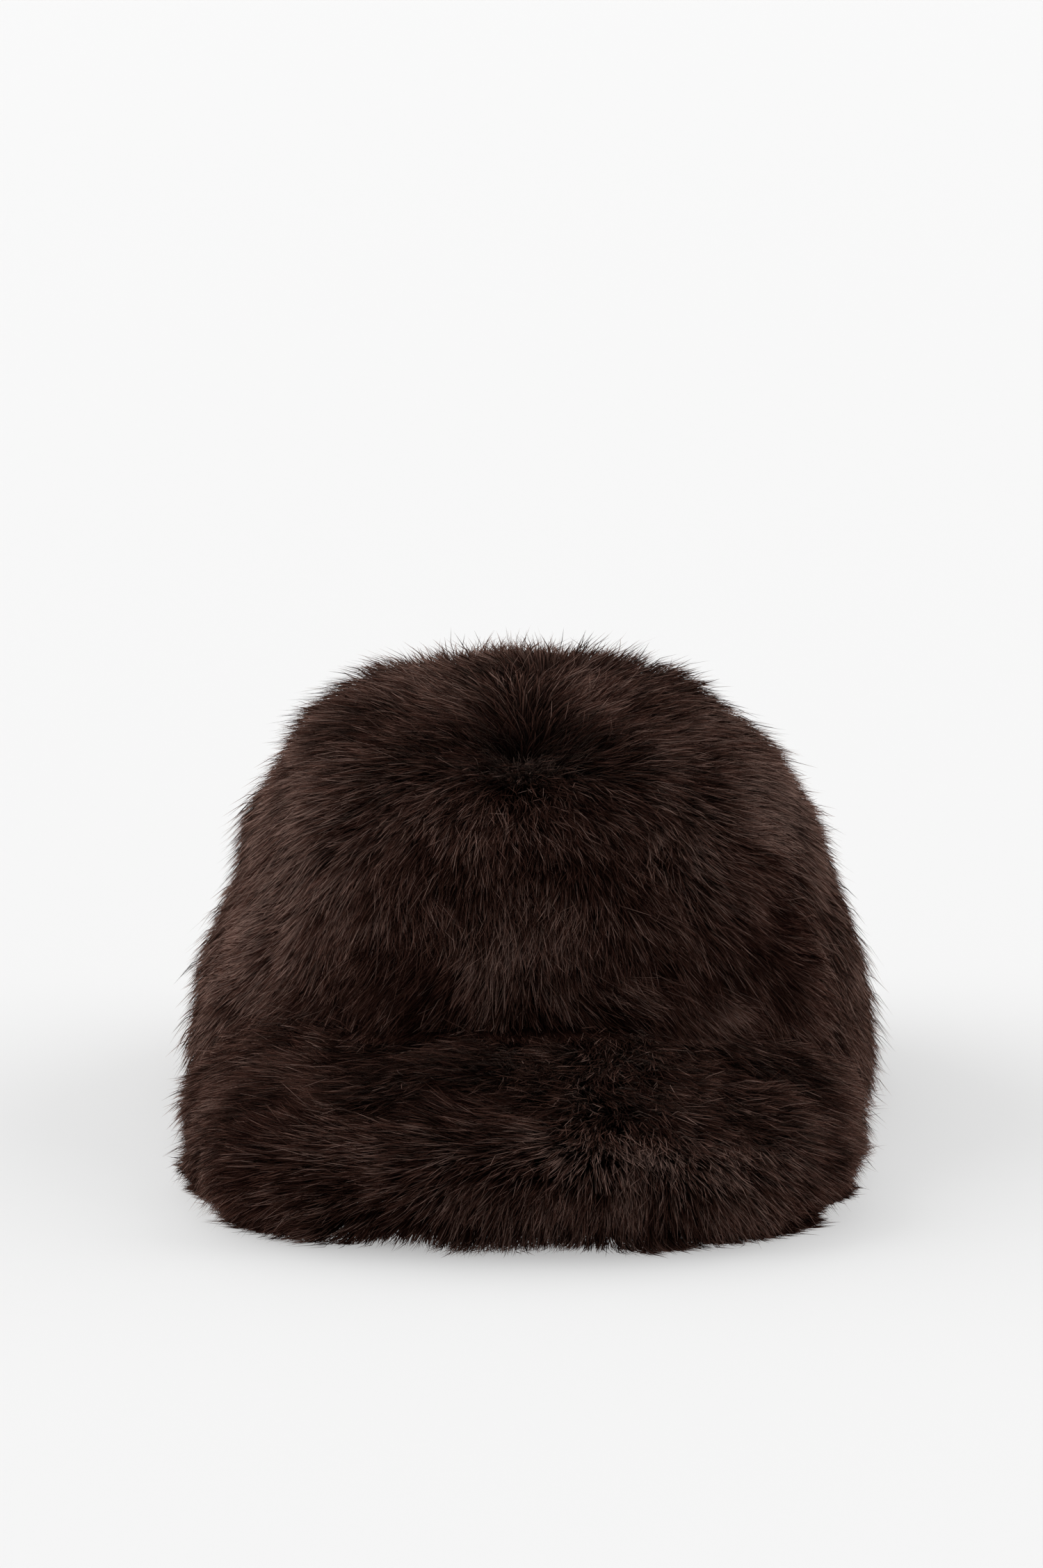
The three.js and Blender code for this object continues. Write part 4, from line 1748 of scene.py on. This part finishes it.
@dataclass(frozen=True)
class Studio:
    """A pale lit floor, a bright far side, a softbox on either side and the camera."""

    camera_place: tuple[float, float, float] = (-0.00185, -1.3229, 0.3505)
    camera_pitch: float = 10.889  # degrees below level
    lens: float = 108.85
    sensor: float = 36.0
    floor_size: float = 60.0
    floor_colour: tuple[float, float, float] = (0.38, 0.38, 0.38)
    floor_roughness: float = 0.9
    floor_specular: float = 0.1
    floor_glow: float = 0.405  # the floor is lit from below too, so that shadows stay pale
    bright_side: tuple[float, float, float] = (-0.25, 0.85, 0.35)  # of the surroundings
    levels: Ramp = Ramp(
        ((0.0, (0.22,) * 3), (0.45, (0.34,) * 3), (0.75, (1.0,) * 3), (1.0, (1.35,) * 3))
    )
    softboxes: tuple[Softbox, ...] = (
        Softbox("left_softbox", (-1.0, 0.3, 0.5), 2.3, 60.0),
        Softbox("right_softbox", (1.0, 0.35, 0.5), 1.9, 60.0),
    )

    def build_floor(self) -> None:
        """Makes the floor, which also fills the background."""
        half = self.floor_size / 2
        corners = [(-half, -half, 0), (half, -half, 0), (half, half, 0), (-half, half, 0)]
        mesh = bpy.data.meshes.new("floor")
        mesh.from_pydata(corners, [], [(0, 1, 2, 3)])
        material, _, shader = new_material("pale_floor")
        shader.inputs["Base Color"].default_value = (*self.floor_colour, 1)
        shader.inputs["Roughness"].default_value = self.floor_roughness
        shader.inputs["Specular IOR Level"].default_value = self.floor_specular
        shader.inputs["Emission Color"].default_value = (1, 1, 1, 1)
        shader.inputs["Emission Strength"].default_value = self.floor_glow
        mesh.materials.append(material)
        floor = bpy.data.objects.new("floor", mesh)
        bpy.context.scene.collection.objects.link(floor)

    def build_lights(self) -> None:
        """Makes the surroundings and the softboxes.

        The surroundings go from dark to bright by (1 + d) / 2, with d the dot product of
        the direction and the bright side's.
        """
        world = bpy.data.worlds.new("white_room")
        world.use_nodes = True
        tree = world.node_tree
        place = tree.nodes.new("ShaderNodeTexCoord")
        facing = tree.nodes.new("ShaderNodeVectorMath")
        facing.operation = "DOT_PRODUCT"
        facing.inputs[1].default_value = unit(np.array(self.bright_side)).tolist()
        tree.links.new(place.outputs["Generated"], facing.inputs[0])
        share = tree.nodes.new("ShaderNodeMapRange")
        share.inputs["From Min"].default_value = -1
        tree.links.new(facing.outputs["Value"], share.inputs["Value"])
        background = tree.nodes["Background"]
        levels = self.levels.node(tree, share.outputs["Result"])
        tree.links.new(levels, background.inputs["Color"])
        bpy.context.scene.world = world
        for softbox in self.softboxes:
            softbox.build()

    def build_camera(self) -> None:
        """Makes the camera that takes the photograph's view."""
        scene = bpy.context.scene
        scene.view_settings.view_transform = "Standard"
        lens = bpy.data.cameras.new("camera")
        lens.lens = self.lens
        lens.sensor_width = self.sensor
        camera = bpy.data.objects.new("camera", lens)
        camera.location = self.camera_place
        camera.rotation_euler = (math.radians(90 - self.camera_pitch), 0, 0)
        scene.collection.objects.link(camera)
        scene.camera = camera

    def build(self) -> None:
        """Makes the floor, the lights and the camera."""
        self.build_floor()
        self.build_lights()
        self.build_camera()


@dataclass
class FurCap:
    """The whole cap: six panels and the peak."""

    crown: CrownForm = field(default_factory=CrownForm)
    peak_form: PeakForm = field(default_factory=PeakForm)

    def panels(self) -> list[CrownPanel]:
        """Lists the six gores, each between the plan angles of its seams.

        Returns:
            The panels from front to back.
        """
        seams = {
            "panel_front_right": (188, 270, 36000),
            "panel_front_left": (-90, -8, 36000),
            "panel_side_right": (128, 188, 32000),
            "panel_side_left": (-8, 52, 32000),
            "panel_back_right": (90, 128, 26000),
            "panel_back_left": (52, 90, 26000),
        }
        return [
            CrownPanel(name, start, end, strands, seed, self.crown, self.peak_form)
            for seed, (name, (start, end, strands)) in enumerate(seams.items(), 61)
        ]

    def build(self, wardrobe: Wardrobe) -> None:
        """Builds and dresses every piece, and reports each one.

        Args:
            wardrobe: holds the materials.
        """
        peak = Peak(self.peak_form, self.crown)
        pieces = [peak.dress_board(wardrobe), peak.dress_base(wardrobe)]
        pieces += peak.dress_pile(wardrobe)
        for panel in self.panels():
            pieces += [panel.dress_base(wardrobe), panel.dress_pile(wardrobe)]
        for piece in pieces:
            LOG.info("%s: %d faces", piece.name, len(piece.data.polygons))


def main() -> None:
    """Builds the studio and the cap."""
    logging.basicConfig(level=logging.INFO, format="%(name)s %(message)s")
    Studio().build()
    FurCap().build(Wardrobe())


if __name__ == "__main__":
    main()
